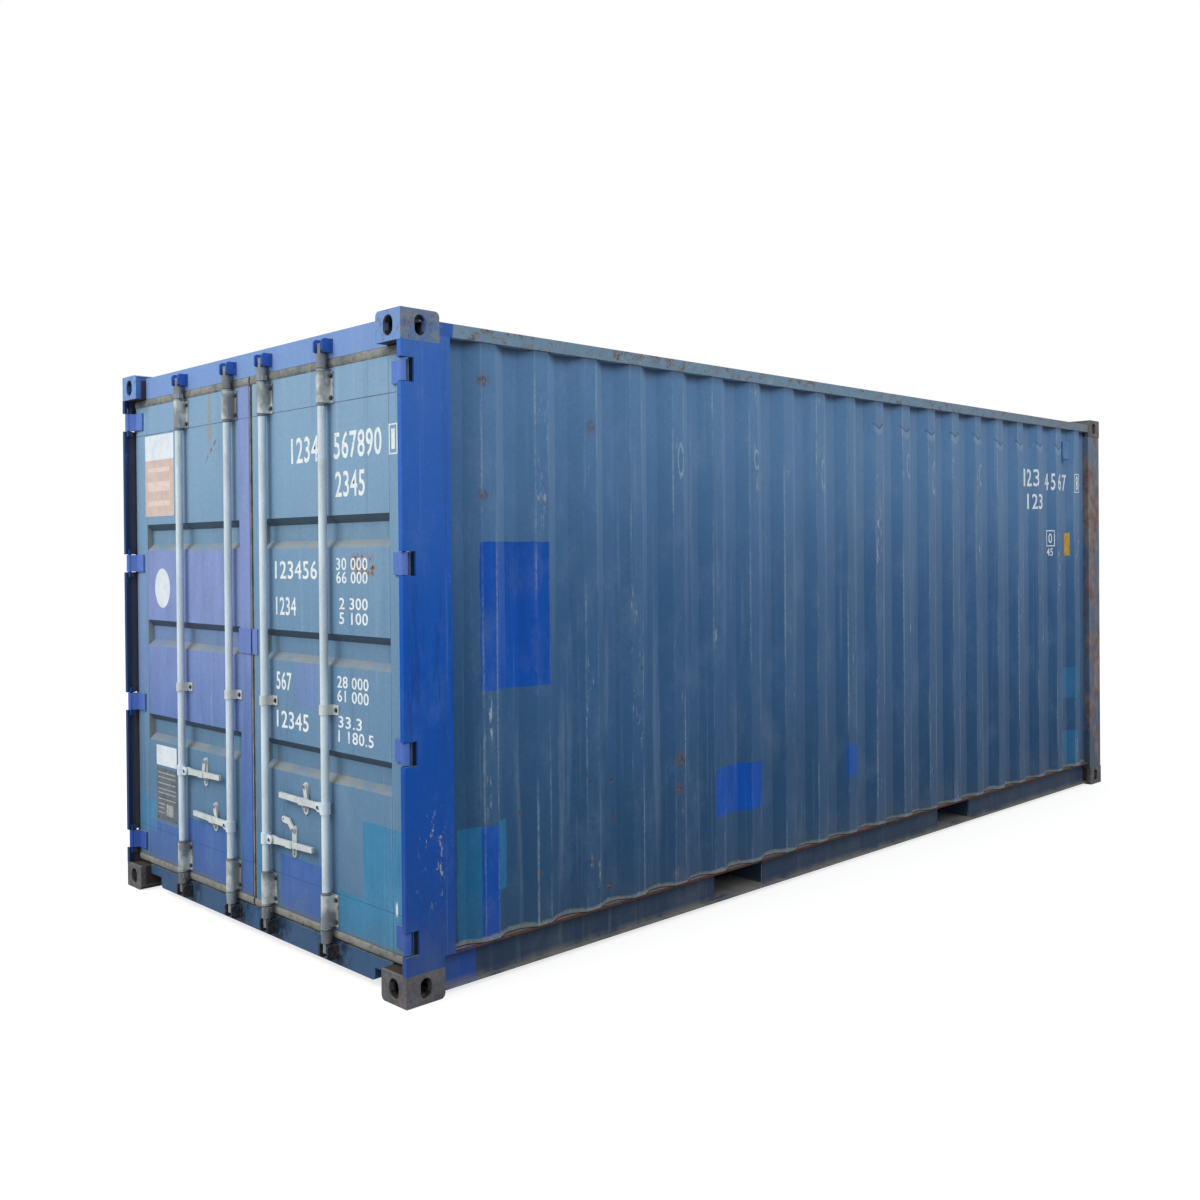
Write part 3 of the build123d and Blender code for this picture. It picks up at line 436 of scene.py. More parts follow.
def door_details(m, colour, cloud, fine, spots):
    """Seams, darker sunk grooves, painted shadow on the faces that look down, runs, scars and drips."""
    rear = m.ramp(m.ny, -0.2, -0.5)
    deep = m.ramp(m.y, -2.972, -2.948)
    colour = m.mix(m.times(deep, rear, m.ramp(cloud, 0.2, 0.7, 0.1, 0.4)), colour, m.mix(0.4, colour, GRIME_AND_SHADE))
    # painted shadow on the faces of the grooves that look down
    shadow = m.times(m.ramp(m.nz, -0.2, -0.5), 0.95)
    colour = m.mix(shadow, colour, m.mix(0.75, colour, GRIME_AND_SHADE))
    dusty = m.times(m.ramp(m.nz, 0.2, 0.6), m.ramp(cloud, 0.3, 0.65, 0.1, 0.45))
    colour = m.mix(dusty, m.mix(m.times(m.ramp(m.nz, 0.2, 0.6), 0.35), colour, m.mix(0.5, colour, GRIME_AND_SHADE)),
                   m.mix(m.ramp(cloud, 0.35, 0.6), srgb(112, 134, 150), srgb(146, 144, 130)))
    seam = m.most(m.band(m.z, 2.2895, 2.2925, 0.0015), m.times(m.band(m.z, 0.313, 0.316, 0.0015), 0.6),
                  m.band(m.size(m.x), 1.0595, 1.0615, 0.001))
    colour = m.mix(m.times(seam, rear, m.ramp(cloud, 0.25, 0.6, 0.4, 0.9)), colour, GRIME_AND_SHADE)
    run = m.times(m.band(m.x, -0.400, -0.366, 0.012), m.band(m.z, 2.20, 2.44, 0.05),
                  m.ramp(m.noise(3, 5, 0.7, stretch=(12, 1, 0.7), shift=4.0), 0.35, 0.6, 0.35, 1.0), rear)
    colour = m.mix(m.times(run, 0.6), colour, srgb(150, 130, 96))
    splash = m.times(m.ramp(m.noise(16, 6, 0.75, shift=31.0), 0.60, 0.68), m.ramp(m.z, 0.9, 0.3), rear)
    colour = m.mix(m.times(splash, 0.5), colour, m.mix(0.5, colour, srgb(120, 122, 116)))
    lean = m.math("SUBTRACT", m.z, m.math("MULTIPLY", m.x, 0.85))
    scar = m.times(m.band(lean, 2.478, 2.496, 0.006), m.band(m.x, -0.43, -0.32, 0.02),
                   m.ramp(m.noise(26, 6, 0.8, shift=1.0), 0.46, 0.56), rear)
    colour = m.mix(scar, colour, srgb(128, 96, 84))
    chip = m.times(m.band(m.x, 0.800, 0.960, 0.02), m.band(m.z, 1.600, 1.680, 0.015),
                   m.ramp(m.noise(34, 6, 0.8, shift=6.0), 0.45, 0.53), rear)
    colour = m.mix(chip, colour, m.mix(m.ramp(fine, 0.4, 0.6), srgb(176, 138, 110), RUST_DARK_AND_SHADE))
    drip = m.times(m.band(m.x, 1.079, 1.091, 0.004), m.band(m.z, 0.31, 0.355, 0.012), rear)
    colour = m.mix(drip, colour, srgb(214, 222, 224))
    foot = m.times(m.ramp(m.z, 0.19, 0.165), m.ramp(cloud, 0.3, 0.6, 0.1, 0.55), rear)
    colour = m.mix(foot, colour, m.mix(0.5, DUST, GRIME_AND_SHADE))
    return colour, m.most(spots, chip)


def post_details(m, colour, cloud, fine, spots):
    """Scratches low on the post, a darker drip on its upper half, and painted shade on its faces in the gap by the
    leaf and on the far post's edge.
    """
    low = m.times(m.band(m.z, 0.38, 0.70, 0.10), m.band(m.y, -2.97, -2.85, 0.02))
    marks = m.ramp(m.noise(18, 8, 0.8, stretch=(1, 1.6, 0.8), shift=2.0), 0.575, 0.61)
    colour = m.mix(m.times(low, marks, 0.8), colour, srgb(158, 160, 156))
    drip = m.times(m.ramp(m.noise(6, 5, 0.7, stretch=(1, 3.2, 0.25), shift=33.0), 0.55, 0.60),
                   m.band(m.z, 0.95, 1.55, 0.15))
    colour = m.mix(m.times(drip, 0.5), colour, srgb(28, 62, 132))
    # painted shade on the post's faces in the gap by the leaf
    gap_shade = m.times(m.ramp(m.size(m.x), 1.2155, 1.2135), m.ramp(m.ny, -0.4, -0.1))
    shade = m.mix(m.ramp(m.y, -3.02, -2.975), srgb(26, 42, 66), srgb(92, 86, 80))
    colour = m.mix(m.times(gap_shade, 0.85), colour, m.mix(m.ramp(cloud, 0.3, 0.7, 0.0, 0.5), shade, srgb(60, 62, 64)))
    # painted shade along the rear face of the far post's inner edge
    far_edge_shade = m.times(m.ramp(m.x, -1.15, -1.17), m.ramp(m.ny, -0.5, -0.9), m.ramp(m.y, -3.02, -3.024))
    colour = m.mix(m.times(far_edge_shade, 0.85), colour, srgb(34, 52, 84))
    rubbed = m.times(m.ramp(m.noise(12, 7, 0.8, stretch=(1, 1, 0.3), shift=44.0), 0.60, 0.66), m.ramp(m.nx, 0.5, 0.9))
    colour = m.mix(m.times(rubbed, 0.35), colour, srgb(92, 124, 186))
    return colour, spots


def keeper_details(m, colour, cloud, fine, spots):
    """Bright above, dark with grease and rust on the sill."""
    low = m.ramp(m.z, 0.5, 0.3)
    dark = m.mix(m.ramp(fine, 0.42, 0.68), srgb(34, 48, 62), srgb(92, 74, 60))
    colour = m.mix(low, colour, dark)
    return colour, m.most(spots, m.times(low, 0.5))


def sill_details(m, colour, cloud, fine, spots):
    """Black grease marks round the lower keepers and a dusty ledge."""
    rods = sorted(sign * x for sign in (-1, 1) for x in ROD_X.values())
    marks = m.most(*(m.disc(m.x, m.z, x + 0.055, 0.085, 0.07, 0.04) for x in rods))
    marks = m.times(marks, m.ramp(m.noise(18, 5, 0.7, shift=2.0), 0.35, 0.55), 0.85)
    colour = m.mix(marks, colour, srgb(26, 34, 46))
    stain = m.ramp(m.noise(14, 7, 0.75, stretch=(1, 1, 0.6), shift=8.0), 0.52, 0.66)
    colour = m.mix(m.times(stain, 0.5), colour, srgb(40, 52, 66))
    return colour, m.most(spots, m.times(stain, 0.3))


def cast_steel(name, low_base, share):
    """Cast steel with the paint rubbed off its faces, dark inside its holes."""
    m = Look(name)
    cloud = m.noise(16, 8, 0.75, shift=2.0)
    fine = m.noise(120, 5, 0.7, shift=7.0)
    high = m.ramp(m.z, 1.0, 1.1)
    front = m.ramp(m.y, -1.0, 1.0)
    sideways = m.ramp(m.nx, 0.3, 0.7)
    paint = m.mix(sideways, srgb(112, 144, 194), srgb(118, 128, 140))
    paint = m.mix(m.times(sideways, m.ramp(cloud, 0.55, 0.45)), paint, srgb(92, 118, 160))
    paint = m.mix(m.times(sideways, m.ramp(m.x, 0.1, -0.1)), paint, srgb(70, 108, 172))
    paint = m.mix(front, paint, m.mix(m.ramp(cloud, 0.4, 0.6), srgb(118, 108, 104), srgb(92, 96, 104)))
    colour = m.mix(high, m.mix(m.ramp(cloud, 0.35, 0.65), low_base, dim(low_base, 0.6)), paint)
    rims = m.ramp(m.noise(30, 7, 0.8, shift=5.0), 0.52, 0.64)
    colour = m.mix(m.times(rims, share), colour, m.mix(m.ramp(fine, 0.35, 0.65), srgb(130, 104, 92), RUST_DARK_AND_SHADE))
    colour = m.mix(m.times(m.ramp(m.nz, 0.6, 0.95), 0.5), colour, DUST)
    near_x = m.math("SUBTRACT", HALF_WIDTH, m.size(m.x))
    near_y = m.math("SUBTRACT", HALF_LENGTH, m.size(m.y))
    near_z = m.math("MINIMUM", m.math("SUBTRACT", HEIGHT, m.z), m.z)
    inner = m.math("MINIMUM", m.math("MINIMUM", near_x, near_y), near_z)
    flat = m.most(m.ramp(m.size(m.nx), 0.97, 0.99), m.ramp(m.size(m.ny), 0.97, 0.99))
    hole = m.times(m.ramp(inner, 0.004, 0.012), m.most(m.math("SUBTRACT", 1.0, flat), m.ramp(inner, 0.02, 0.03)))
    colour = m.mix(m.times(hole, 0.9), colour, m.mix(m.ramp(fine, 0.3, 0.7), srgb(44, 40, 40), srgb(66, 54, 46)))
    height = m.math("ADD", cloud, m.math("MULTIPLY", fine, 0.35))
    return m.finish(colour, m.ramp(cloud, 0.3, 0.7, 0.55, 0.8), 0.0, height, 0.0022, 0.6)


def galvanised(name, base, share, ends):
    """Zinc with a dull spangle, brown pinholes, rusty pins, dirt near the ends and painted shadow rings where the rods
    meet the bearings.
    """
    m = Look(name)
    spangle = m.noise(90, 3, 0.5, shift=1.0)
    cloud = m.noise(9, 7, 0.7, stretch=(1, 1, 0.35), shift=6.0)
    colour = m.mix(m.ramp(cloud, 0.32, 0.72), base, dim(base, 0.76))
    colour = m.mix(m.ramp(spangle, 0.35, 0.7, 0.0, 0.2), colour, srgb(226, 232, 234))
    pits = m.times(m.ramp(m.noise(42, 8, 0.8, shift=3.0), 0.60, 0.67), share)
    colour = m.mix(pits, colour, m.mix(m.ramp(spangle, 0.3, 0.7), srgb(134, 96, 70), srgb(84, 64, 54)))
    low = m.times(m.ramp(m.z, 0.185, 0.165), ends)
    high = m.times(m.ramp(m.z, 2.416, 2.428), ends)
    # painted shadow: dark rings on the rods just outside the bearings
    collar_shadow = m.most(m.band(m.z, 2.279, 2.2905, 0.002), m.band(m.z, 0.3075, 0.319, 0.002))
    colour = m.mix(m.times(collar_shadow, ends), colour, srgb(62, 68, 74))
    greasy = m.times(m.ramp(m.noise(5, 4, 0.6, stretch=(1, 1, 0.8), shift=14.0), 0.42, 0.54), 1.0 - ends,
                     m.ramp(m.size(m.math("SUBTRACT", m.z, 1.2)), 0.7, 0.9))
    colour = m.mix(m.times(greasy, m.ramp(cloud, 0.3, 0.5, 0.3, 1.0), 0.8), colour, srgb(92, 100, 106))
    dirt = m.mix(m.ramp(cloud, 0.35, 0.6), srgb(96, 104, 110), m.mix(m.ramp(spangle, 0.4, 0.6), GRIME_AND_SHADE, RUST_DARK_AND_SHADE))
    colour = m.mix(m.most(low, high), colour, dirt)
    places = []
    for rod in ROD_X:
        for sign in (-1, 1):
            places.append((sign * (ROD_X[rod] + WAY[rod] * HUB), LEVEL[rod]))
            places.append((sign * (ROD_X[rod] + WAY[rod] * CATCH), LEVEL[rod] + RISE))
    pins = m.most(*(m.disc(m.x, m.z, x, z, PIN_RADIUS) for x, z in places))
    colour = m.mix(m.times(pins, m.ramp(m.ny, -0.5, -0.9), 0.9), colour,
                   m.mix(m.ramp(spangle, 0.4, 0.6), srgb(128, 74, 52), srgb(84, 50, 40)))
    height = m.math("ADD", spangle, m.math("MULTIPLY", pits, -2.0))
    return m.finish(colour, m.ramp(cloud, 0.3, 0.7, 0.45, 0.62), 0.15, height, 0.0006, 0.5, 0.4)


def rubber():
    m = Look("gasket_rubber")
    cloud = m.noise(7, 7, 0.75, shift=2.0)
    fine = m.noise(140, 4, 0.7)
    colour = m.mix(m.ramp(cloud, 0.3, 0.62), srgb(90, 98, 106), srgb(138, 139, 134))
    colour = m.mix(m.times(m.ramp(m.z, 0.5, 0.15), 0.4), colour, srgb(120, 122, 116))
    colour = m.mix(m.times(m.ramp(m.noise(24, 7, 0.8, shift=9.0), 0.52, 0.64), 0.7), colour, srgb(96, 82, 68))
    # painted shade: the seal is darkened near the posts, where it shows in the hinge windows
    sides = m.times(m.ramp(m.size(m.x), 1.186, 1.190), 0.9)
    colour = m.mix(sides, colour, srgb(34, 42, 52))
    return m.finish(colour, 0.8, 0.0, m.math("ADD", cloud, m.math("MULTIPLY", fine, 0.4)), 0.0015, 0.5)


def plywood():
    """Red-brown plywood laid along the length, scuffed and oiled."""
    m = Look("floor_plywood")
    grain = m.noise(6, 7, 0.7, stretch=(16, 1.0, 1), shift=1.0, warp=0.6)
    cloud = m.noise(1.8, 6, 0.65, shift=4.0)
    colour = m.mix(m.ramp(grain, 0.3, 0.7), srgb(112, 76, 52), srgb(74, 48, 34))
    colour = m.mix(m.ramp(cloud, 0.45, 0.75, 0.0, 0.55), colour, srgb(120, 108, 94))
    scuffs = m.ramp(m.noise(4, 7, 0.8, stretch=(5, 0.8, 1), shift=8.0), 0.63, 0.68)
    colour = m.mix(m.times(scuffs, 0.5), colour, srgb(48, 38, 32))
    return m.finish(colour, m.ramp(cloud, 0.3, 0.7, 0.5, 0.75), 0.0, grain, 0.0012, 0.5)


def dark_steel(name, base, share):
    """Tarred understructure, a worn steel strip or a bolt."""
    m = Look(name)
    cloud = m.noise(8, 7, 0.72, shift=2.0)
    fine = m.noise(90, 5, 0.7, shift=1.0)
    colour = m.mix(m.ramp(cloud, 0.3, 0.7), base, dim(base, 0.6))
    colour = m.mix(m.times(m.ramp(m.noise(18, 7, 0.8, shift=5.0), 0.52, 0.62), share), colour, rusty(m, fine))
    return m.finish(colour, m.ramp(fine, 0.3, 0.7, 0.55, 0.8), 0.0,
                    m.math("ADD", cloud, m.math("MULTIPLY", fine, 0.4)), 0.0016, 0.5)


def trim(name, base, second, scale=20, rough=0.5, worn=None, share=0.6):
    """Printed, moulded or painted trim, worn through to the paint under it."""
    m = Look(name)
    cloud = m.noise(scale, 6, 0.7, shift=2.0)
    fine = m.noise(scale * 8, 4, 0.7, shift=5.0)
    colour = m.mix(m.ramp(cloud, 0.38, 0.70), base, second)
    colour = m.mix(m.ramp(fine, 0.55, 0.8, 0.0, 0.2), colour, srgb(88, 90, 92))
    if worn is not None:
        through = m.ramp(m.noise(26, 7, 0.8, stretch=(1, 1, 0.5), shift=12.0), 0.57, 0.62)
        colour = m.mix(m.times(through, share), colour, worn)
    return m.finish(colour, m.ramp(cloud, 0.3, 0.7, rough - 0.08, rough + 0.1), 0.0, fine, 0.0004, 0.4)


BRIGHT = srgb(16, 78, 170)
# the door's later blue goes from a darker colour at the foot to a lighter one higher up: painted shade
DOOR_BRIGHT_WITH_PAINTED_SHADE = (srgb(66, 100, 166), srgb(126, 142, 192))
SIDE_TEAL = srgb(42, 112, 158)
DOOR_TEAL = srgb(62, 126, 166)
SIDE_PATCHES = [
    ("y", (-2.656, -2.293, 1.141, 1.726), BRIGHT, None, 0.95),
    ("y", (-2.756, -2.655, 0.160, 0.611), SIDE_TEAL, None, 0.85),
    ("y", (-2.570, -2.512, 0.345, 0.622), SIDE_TEAL, None, 0.85),
    ("y", (-2.659, -2.568, 0.160, 0.607), BRIGHT, None, 0.85),
    ("y", (-1.247, -0.872, 0.423, 0.651), BRIGHT, None, 0.95),
    ("y", (-0.158, -0.006, 0.466, 0.635), BRIGHT, None, 0.75),
    ("y", (2.500, 2.672, 0.642, 0.854), SIDE_TEAL, None, 0.6),
    ("y", (2.500, 2.676, 0.160, 0.414), SIDE_TEAL, None, 0.6),
]
DOOR_PATCHES = [
    ("x", (-0.115, 0.0, 0.10, 2.44), *DOOR_BRIGHT_WITH_PAINTED_SHADE, 0.9),
    ("x", (-1.066, -0.117, 1.362, 1.705), *DOOR_BRIGHT_WITH_PAINTED_SHADE, 0.95),
    ("x", (-1.066, -0.117, 1.235, 1.362), *DOOR_BRIGHT_WITH_PAINTED_SHADE, 0.5),
    ("x", (-1.066, -0.117, 0.889, 1.232), *DOOR_BRIGHT_WITH_PAINTED_SHADE, 0.9),
    ("x", (-1.19, -1.09, 1.00, 1.66), *DOOR_BRIGHT_WITH_PAINTED_SHADE, 0.6),
    ("x", (-1.075, -0.667, 0.165, 0.352), *DOOR_BRIGHT_WITH_PAINTED_SHADE, 0.8),
    ("x", (-0.660, -0.270, 0.165, 0.425), *DOOR_BRIGHT_WITH_PAINTED_SHADE, 0.9),
    ("x", (-1.19, -0.985, 0.300, 0.455), DOOR_TEAL, None, 0.6),
    ("x", (0.225, 0.560, 0.165, 0.400), *DOOR_BRIGHT_WITH_PAINTED_SHADE, 0.95),
    ("x", (0.016, 0.062, 0.165, 0.470), DOOR_TEAL, None, 0.7),
    ("x", (0.861, 1.19, 0.320, 0.635), DOOR_TEAL, None, 0.95),
    ("x", (0.660, 1.19, 0.165, 0.330), DOOR_TEAL, None, 0.95),
    ("x", (0.357, 0.533, 1.043, 1.227), *DOOR_BRIGHT_WITH_PAINTED_SHADE, 0.6),
]
RAIL_PATCHES = [
    ("y", (-2.860, -2.785, 2.49, 2.60), BRIGHT, None, 0.9),
    ("y", (-2.860, -2.659, 0.0, 0.17), BRIGHT, None, 0.85),
]
# low, middle and top colours of the side and the front wall: painted shade, darker at the foot and lighter at the top
SIDE_PAINT_WITH_PAINTED_SHADE = (srgb(44, 77, 112), srgb(55, 92, 133), srgb(88, 126, 167))
FRONT_PAINT_WITH_PAINTED_SHADE = (srgb(60, 84, 108), srgb(70, 100, 132), srgb(84, 116, 148))

# the three colours given to each weathered look run from foot to top and paint shade below and light above
looks = {
    "side": weathered("side_paint", *SIDE_PAINT_WITH_PAINTED_SHADE, SIDE_PATCHES, side_details, inside=facing_inwards),
    "top_rail": weathered("top_rail_paint", *SIDE_PAINT_WITH_PAINTED_SHADE[:2], srgb(112, 138, 160), RAIL_PATCHES, rail_details),
    "low_rail": weathered("low_rail_paint", srgb(34, 58, 90), srgb(40, 64, 94), SIDE_PAINT_WITH_PAINTED_SHADE[1], RAIL_PATCHES,
                          low_rail_details),
    "door": weathered("door_paint", srgb(82, 115, 145), srgb(104, 138, 168), srgb(126, 158, 186), DOOR_PATCHES,
                      door_details, 0.55, rust=0.2, inside=lambda m: m.ramp(m.ny, -0.3, -0.1)),
    "header": weathered("header_paint", BRIGHT, BRIGHT, srgb(116, 146, 196), (), None, 0.2, 0.15, 0.4),
    "post": weathered("post_paint", srgb(32, 72, 144), srgb(18, 80, 170), srgb(58, 104, 184), (), post_details,
                      0.6, 0.25, 0.2),
    "hinge": weathered("hinge_paint", srgb(50, 84, 164), srgb(84, 112, 184), srgb(94, 124, 194), (), None, 0.2, 0.3),
    "bridge": weathered("bridge_paint", BRIGHT, srgb(104, 124, 186), srgb(120, 138, 192), (), None, 0.2, 0.1),
    "keeper": weathered("keeper_paint", BRIGHT, BRIGHT, srgb(48, 90, 172), (), keeper_details, 0.2, 0.5),
    "front": weathered("front_paint", *FRONT_PAINT_WITH_PAINTED_SHADE, (), None, 0.5, 0.8, dust=0.45, inside=lambda m: m.times(
        m.ramp(m.ny, 0.05, -0.05), m.ramp(m.size(m.x), 1.06, 1.058))),
    "front_post": weathered("front_post_paint", srgb(70, 86, 108), srgb(80, 102, 128), srgb(92, 116, 142), (),
                            front_post_details, 0.5, 1.0),
    "roof": weathered("roof_paint", srgb(78, 110, 140), srgb(78, 110, 140), srgb(84, 112, 138), (), roof_details,
                      rust=0.9, chalk=0.5, dust=0.35, inside=lambda m: m.ramp(m.nz, 0.0, -0.05)),
    "sill": weathered("sill_paint", srgb(44, 84, 126), srgb(44, 84, 126), srgb(44, 84, 126), (), sill_details,
                      rust=0.4, chalk=0.1),
    "casting": cast_steel("casting_steel", srgb(100, 102, 108), 0.7),
    "rod": galvanised("rod_zinc", srgb(202, 218, 228), 0.3, 0.8),
    "fitting": galvanised("fitting_zinc", srgb(194, 202, 202), 0.8, 0.0),
    "rubber": rubber(),
    "plywood": plywood(),
    "strip": dark_steel("floor_strip_steel", srgb(96, 88, 80), 0.6),
    "under": dark_steel("underbody_paint", srgb(50, 54, 60), 0.5),
    "vent": trim("vent_plastic", srgb(84, 128, 174), srgb(66, 104, 148), 25),
    "white": trim("white_marking_paint", srgb(226, 232, 234), srgb(200, 210, 216), 40, 0.5, srgb(96, 130, 158), 0.55),
    "vinyl": trim("white_vinyl", srgb(212, 220, 228), srgb(196, 206, 216), 12, 0.35),
    "salmon": trim("salmon_vinyl", srgb(198, 182, 176), srgb(190, 168, 158), 12, 0.35),
    "salmon_pale": trim("salmon_vinyl_pale", srgb(214, 200, 196), srgb(200, 180, 172), 60, 0.4),
    "yellow": trim("yellow_vinyl", srgb(196, 158, 70), srgb(150, 126, 76), 30, 0.4, srgb(70, 84, 96), 0.8),
    "plate": trim("plate_metal", srgb(96, 104, 112), srgb(78, 86, 94), 30, 0.4),
    "plate_mark": trim("plate_mark", srgb(160, 164, 164), srgb(120, 126, 130), 60, 0.5),
    "bolt": dark_steel("bolt_steel", srgb(70, 72, 76), 0.6),
    "screw": dark_steel("screw_steel", srgb(126, 122, 116), 0.5),
}
NODE_LOOKS = {
    "bottom_corner_castings": "casting", "top_corner_castings": "casting", "rear_post": "post",
    "front_posts": "front_post", "rear_header": "header", "rear_sill": "sill",
    "front_end_rails": "front", "front_wall": "front", "side_wall": "side",
    "top_side_rails": "top_rail", "bottom_side_rails": "low_rail", "cross_members": "under",
    "fork_pocket_rear": "low_rail", "fork_pocket_front": "low_rail", "floor_boards": "plywood",
    "floor_centre_rail": "strip", "roof": "roof", "ventilators": "vent", "lock_keepers": "keeper",
    "door_frame": "door", "door_panel": "door", "door_gasket": "rubber", "door_hinges": "hinge",
    "rod_bearings": "fitting", "handle_catches": "fitting", "bridge_plate": "bridge",
    "inner_lock_rod": "rod", "outer_lock_rod": "rod", "inner_handle": "fitting", "outer_handle": "fitting",
    "inner_latch": "fitting", "outer_latch": "fitting",
}
for node_name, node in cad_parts.items():
    plain_name = node_name
    for word in ("left", "right"):
        plain_name = plain_name.removeprefix(word + "_").removesuffix("_" + word)
    for material_slot in node.material_slots:
        material_slot.material = looks[NODE_LOOKS[plain_name]]


def piece(name, mesh, body, look):
    """Finish a mesh as a named piece that rides on a body."""
    for polygon in mesh.polygons:
        polygon.use_smooth = False
    made = bpy.data.objects.new(name, mesh)
    mesh.materials.clear()
    mesh.materials.append(looks[look])
    scene.collection.objects.link(made)
    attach(made, body)
    return made


def from_bmesh(bm, name):
    bmesh.ops.recalc_face_normals(bm, faces=bm.faces)
    mesh = bpy.data.meshes.new(name)
    bm.to_mesh(mesh)
    bm.free()
    return mesh


def turned(bm, centre, profile, sides, normal):
    """Turn a profile of (radius, height) round an axis that leaves the surface."""
    turn = Vector(normal).to_track_quat("Z", "Y")
    rings = []
    for radius, height in profile:
        ring = []
        for i in range(sides):
            a = 2 * math.pi * i / sides
            at = Vector((radius * math.cos(a), radius * math.sin(a), height))
            ring.append(bm.verts.new(Vector(centre) + turn @ at))
        rings.append(ring)
    for lower, upper in zip(rings, rings[1:]):
        for i in range(sides):
            bm.faces.new((lower[i], lower[(i + 1) % sides], upper[(i + 1) % sides], upper[i]))
    bm.faces.new(rings[-1])


# bolts of the bearings and clamps
BOLT_SIDES = 10
BOLT_ASIDE = 0.0335
BOLT_RISES = (0.020, 0.108)
CLAMP_BOLT_ASIDE = 0.046
BOLT = ((0.0105, -0.001), (0.0105, 0.0012), (0.0080, 0.0013), (0.0080, 0.0045), (0.0062, 0.0062), (0.0030, 0.0070))
for leaf, sign in LEAVES:
    bm = bmesh.new()
    for rod in ("inner", "outer"):
        x = sign * ROD_X[rod]
        for low in BEARING_LOWS:
            for dx in (-BOLT_ASIDE, BOLT_ASIDE):
                for dz in BOLT_RISES:
                    turned(bm, (x + dx, LEAF_Y - BEARING_PLATE, low + dz), BOLT, BOLT_SIDES, REARWARD)
        turned(bm, (x + CLAMP_BOLT_ASIDE, LEAF_Y - BEARING_PLATE, CLAMP_BOLT_Z), BOLT, BOLT_SIDES, REARWARD)
    piece(leaf + "_bearing_bolts", from_bmesh(bm, leaf + "_bearing_bolts"), leaf + "_door", "bolt")

# raised washers of the hubs' pins
WASHER = ((0.0075, -0.001), (0.0075, 0.0008), (0.0045, 0.0020), (0.002, 0.0024))
for leaf, sign in LEAVES:
    for rod in ("inner", "outer"):
        bm = bmesh.new()
        hub = sign * (ROD_X[rod] + WAY[rod] * HUB)
        turned(bm, (hub, HUB_HEAD_Y, LEVEL[rod]), WASHER, 12, REARWARD)
        piece(f"{leaf}_{rod}_hub_rivet", from_bmesh(bm, "rivet"), f"{leaf}_{rod}_rod", "bolt")

# rounded lip of the seal above each leaf and its dusty edge below
LIP_ENDS = (0.0065, 1.180)
LIP_STEPS = 60
LIP_HEIGHT = 0.036
LEAST_LIP = 0.0004
LIP_SUNK = 0.0005
LIP = [(0.0, 0.0), (0.0026, 0.003), (0.0045, 0.009), (0.0052, 0.017), (0.0046, 0.026), (0.0028, 0.033), (0.0, 0.036)]
for leaf, sign in LEAVES:
    for place, low, high in (("upper", 2.4335, 2.4695), ("lower", 0.1310, 0.1630)):
        bm = bmesh.new()
        ends = []
        for i in range(LIP_STEPS + 1):
            x = sign * (LIP_ENDS[0] + (LIP_ENDS[1] - LIP_ENDS[0]) * i / LIP_STEPS)
            sag = 0.0008 * math.sin(i * 1.7) + random.uniform(-0.0005, 0.0005)
            ring = [bm.verts.new((x, LEAF_Y + LIP_SUNK, low))]
            for out, rise in LIP:
                ring.append(bm.verts.new((x, LEAF_Y - max(LEAST_LIP, out + (sag if out else 0)),
                                          low + rise * (high - low) / LIP_HEIGHT)))
            ring.append(bm.verts.new((x, LEAF_Y + LIP_SUNK, high)))
            ends.append(ring)
        for a, b in zip(ends, ends[1:]):
            for i in range(len(a)):
                j = (i + 1) % len(a)
                bm.faces.new((a[i], a[j], b[j], b[i]))
        bm.faces.new(ends[0])
        bm.faces.new(ends[-1])
        name = f"{leaf}_{place}_seal_lip"
        piece(name, from_bmesh(bm, name), leaf + "_door", "rubber")

# screws of the floor, in even rows across it that don't follow the cross members
FIRST_ROW, ROW_PITCH, ROW_COUNT = -2.70, 0.3413, 17
FLOOR_HALF_WIDTH = 1.159
GROUPS = 6
SCREW = ((0.0075, -0.0005), (0.0075, 0.0003), (0.0030, 0.0005))
floor_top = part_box("floor_boards")[1][2]
bm = bmesh.new()
for row in range(ROW_COUNT):
    for group in range(GROUPS):
        middle = -FLOOR_HALF_WIDTH + (group + 0.5) * 2 * FLOOR_HALF_WIDTH / GROUPS
        for dx in (-0.15, -0.05, 0.05, 0.15):
            turned(bm, (middle + dx, FIRST_ROW + row * ROW_PITCH, floor_top), SCREW, 8, (0, 0, 1))
piece("floor_screws", from_bmesh(bm, "floor_screws"), "container", "screw")


def side_surface(y):
    """Outer face of the right side wall at a place along its length."""
    along = (y - FIRST_RISE) % PITCH
    if y < FIRST_RISE or along >= 2 * SLOPE + CREST:
        return VALLEY_X
    if along < SLOPE:
        return VALLEY_X + (CREST_X - VALLEY_X) * along / SLOPE
    if along <= SLOPE + CREST:
        return CREST_X
    return CREST_X - (CREST_X - VALLEY_X) * (along - SLOPE - CREST) / SLOPE


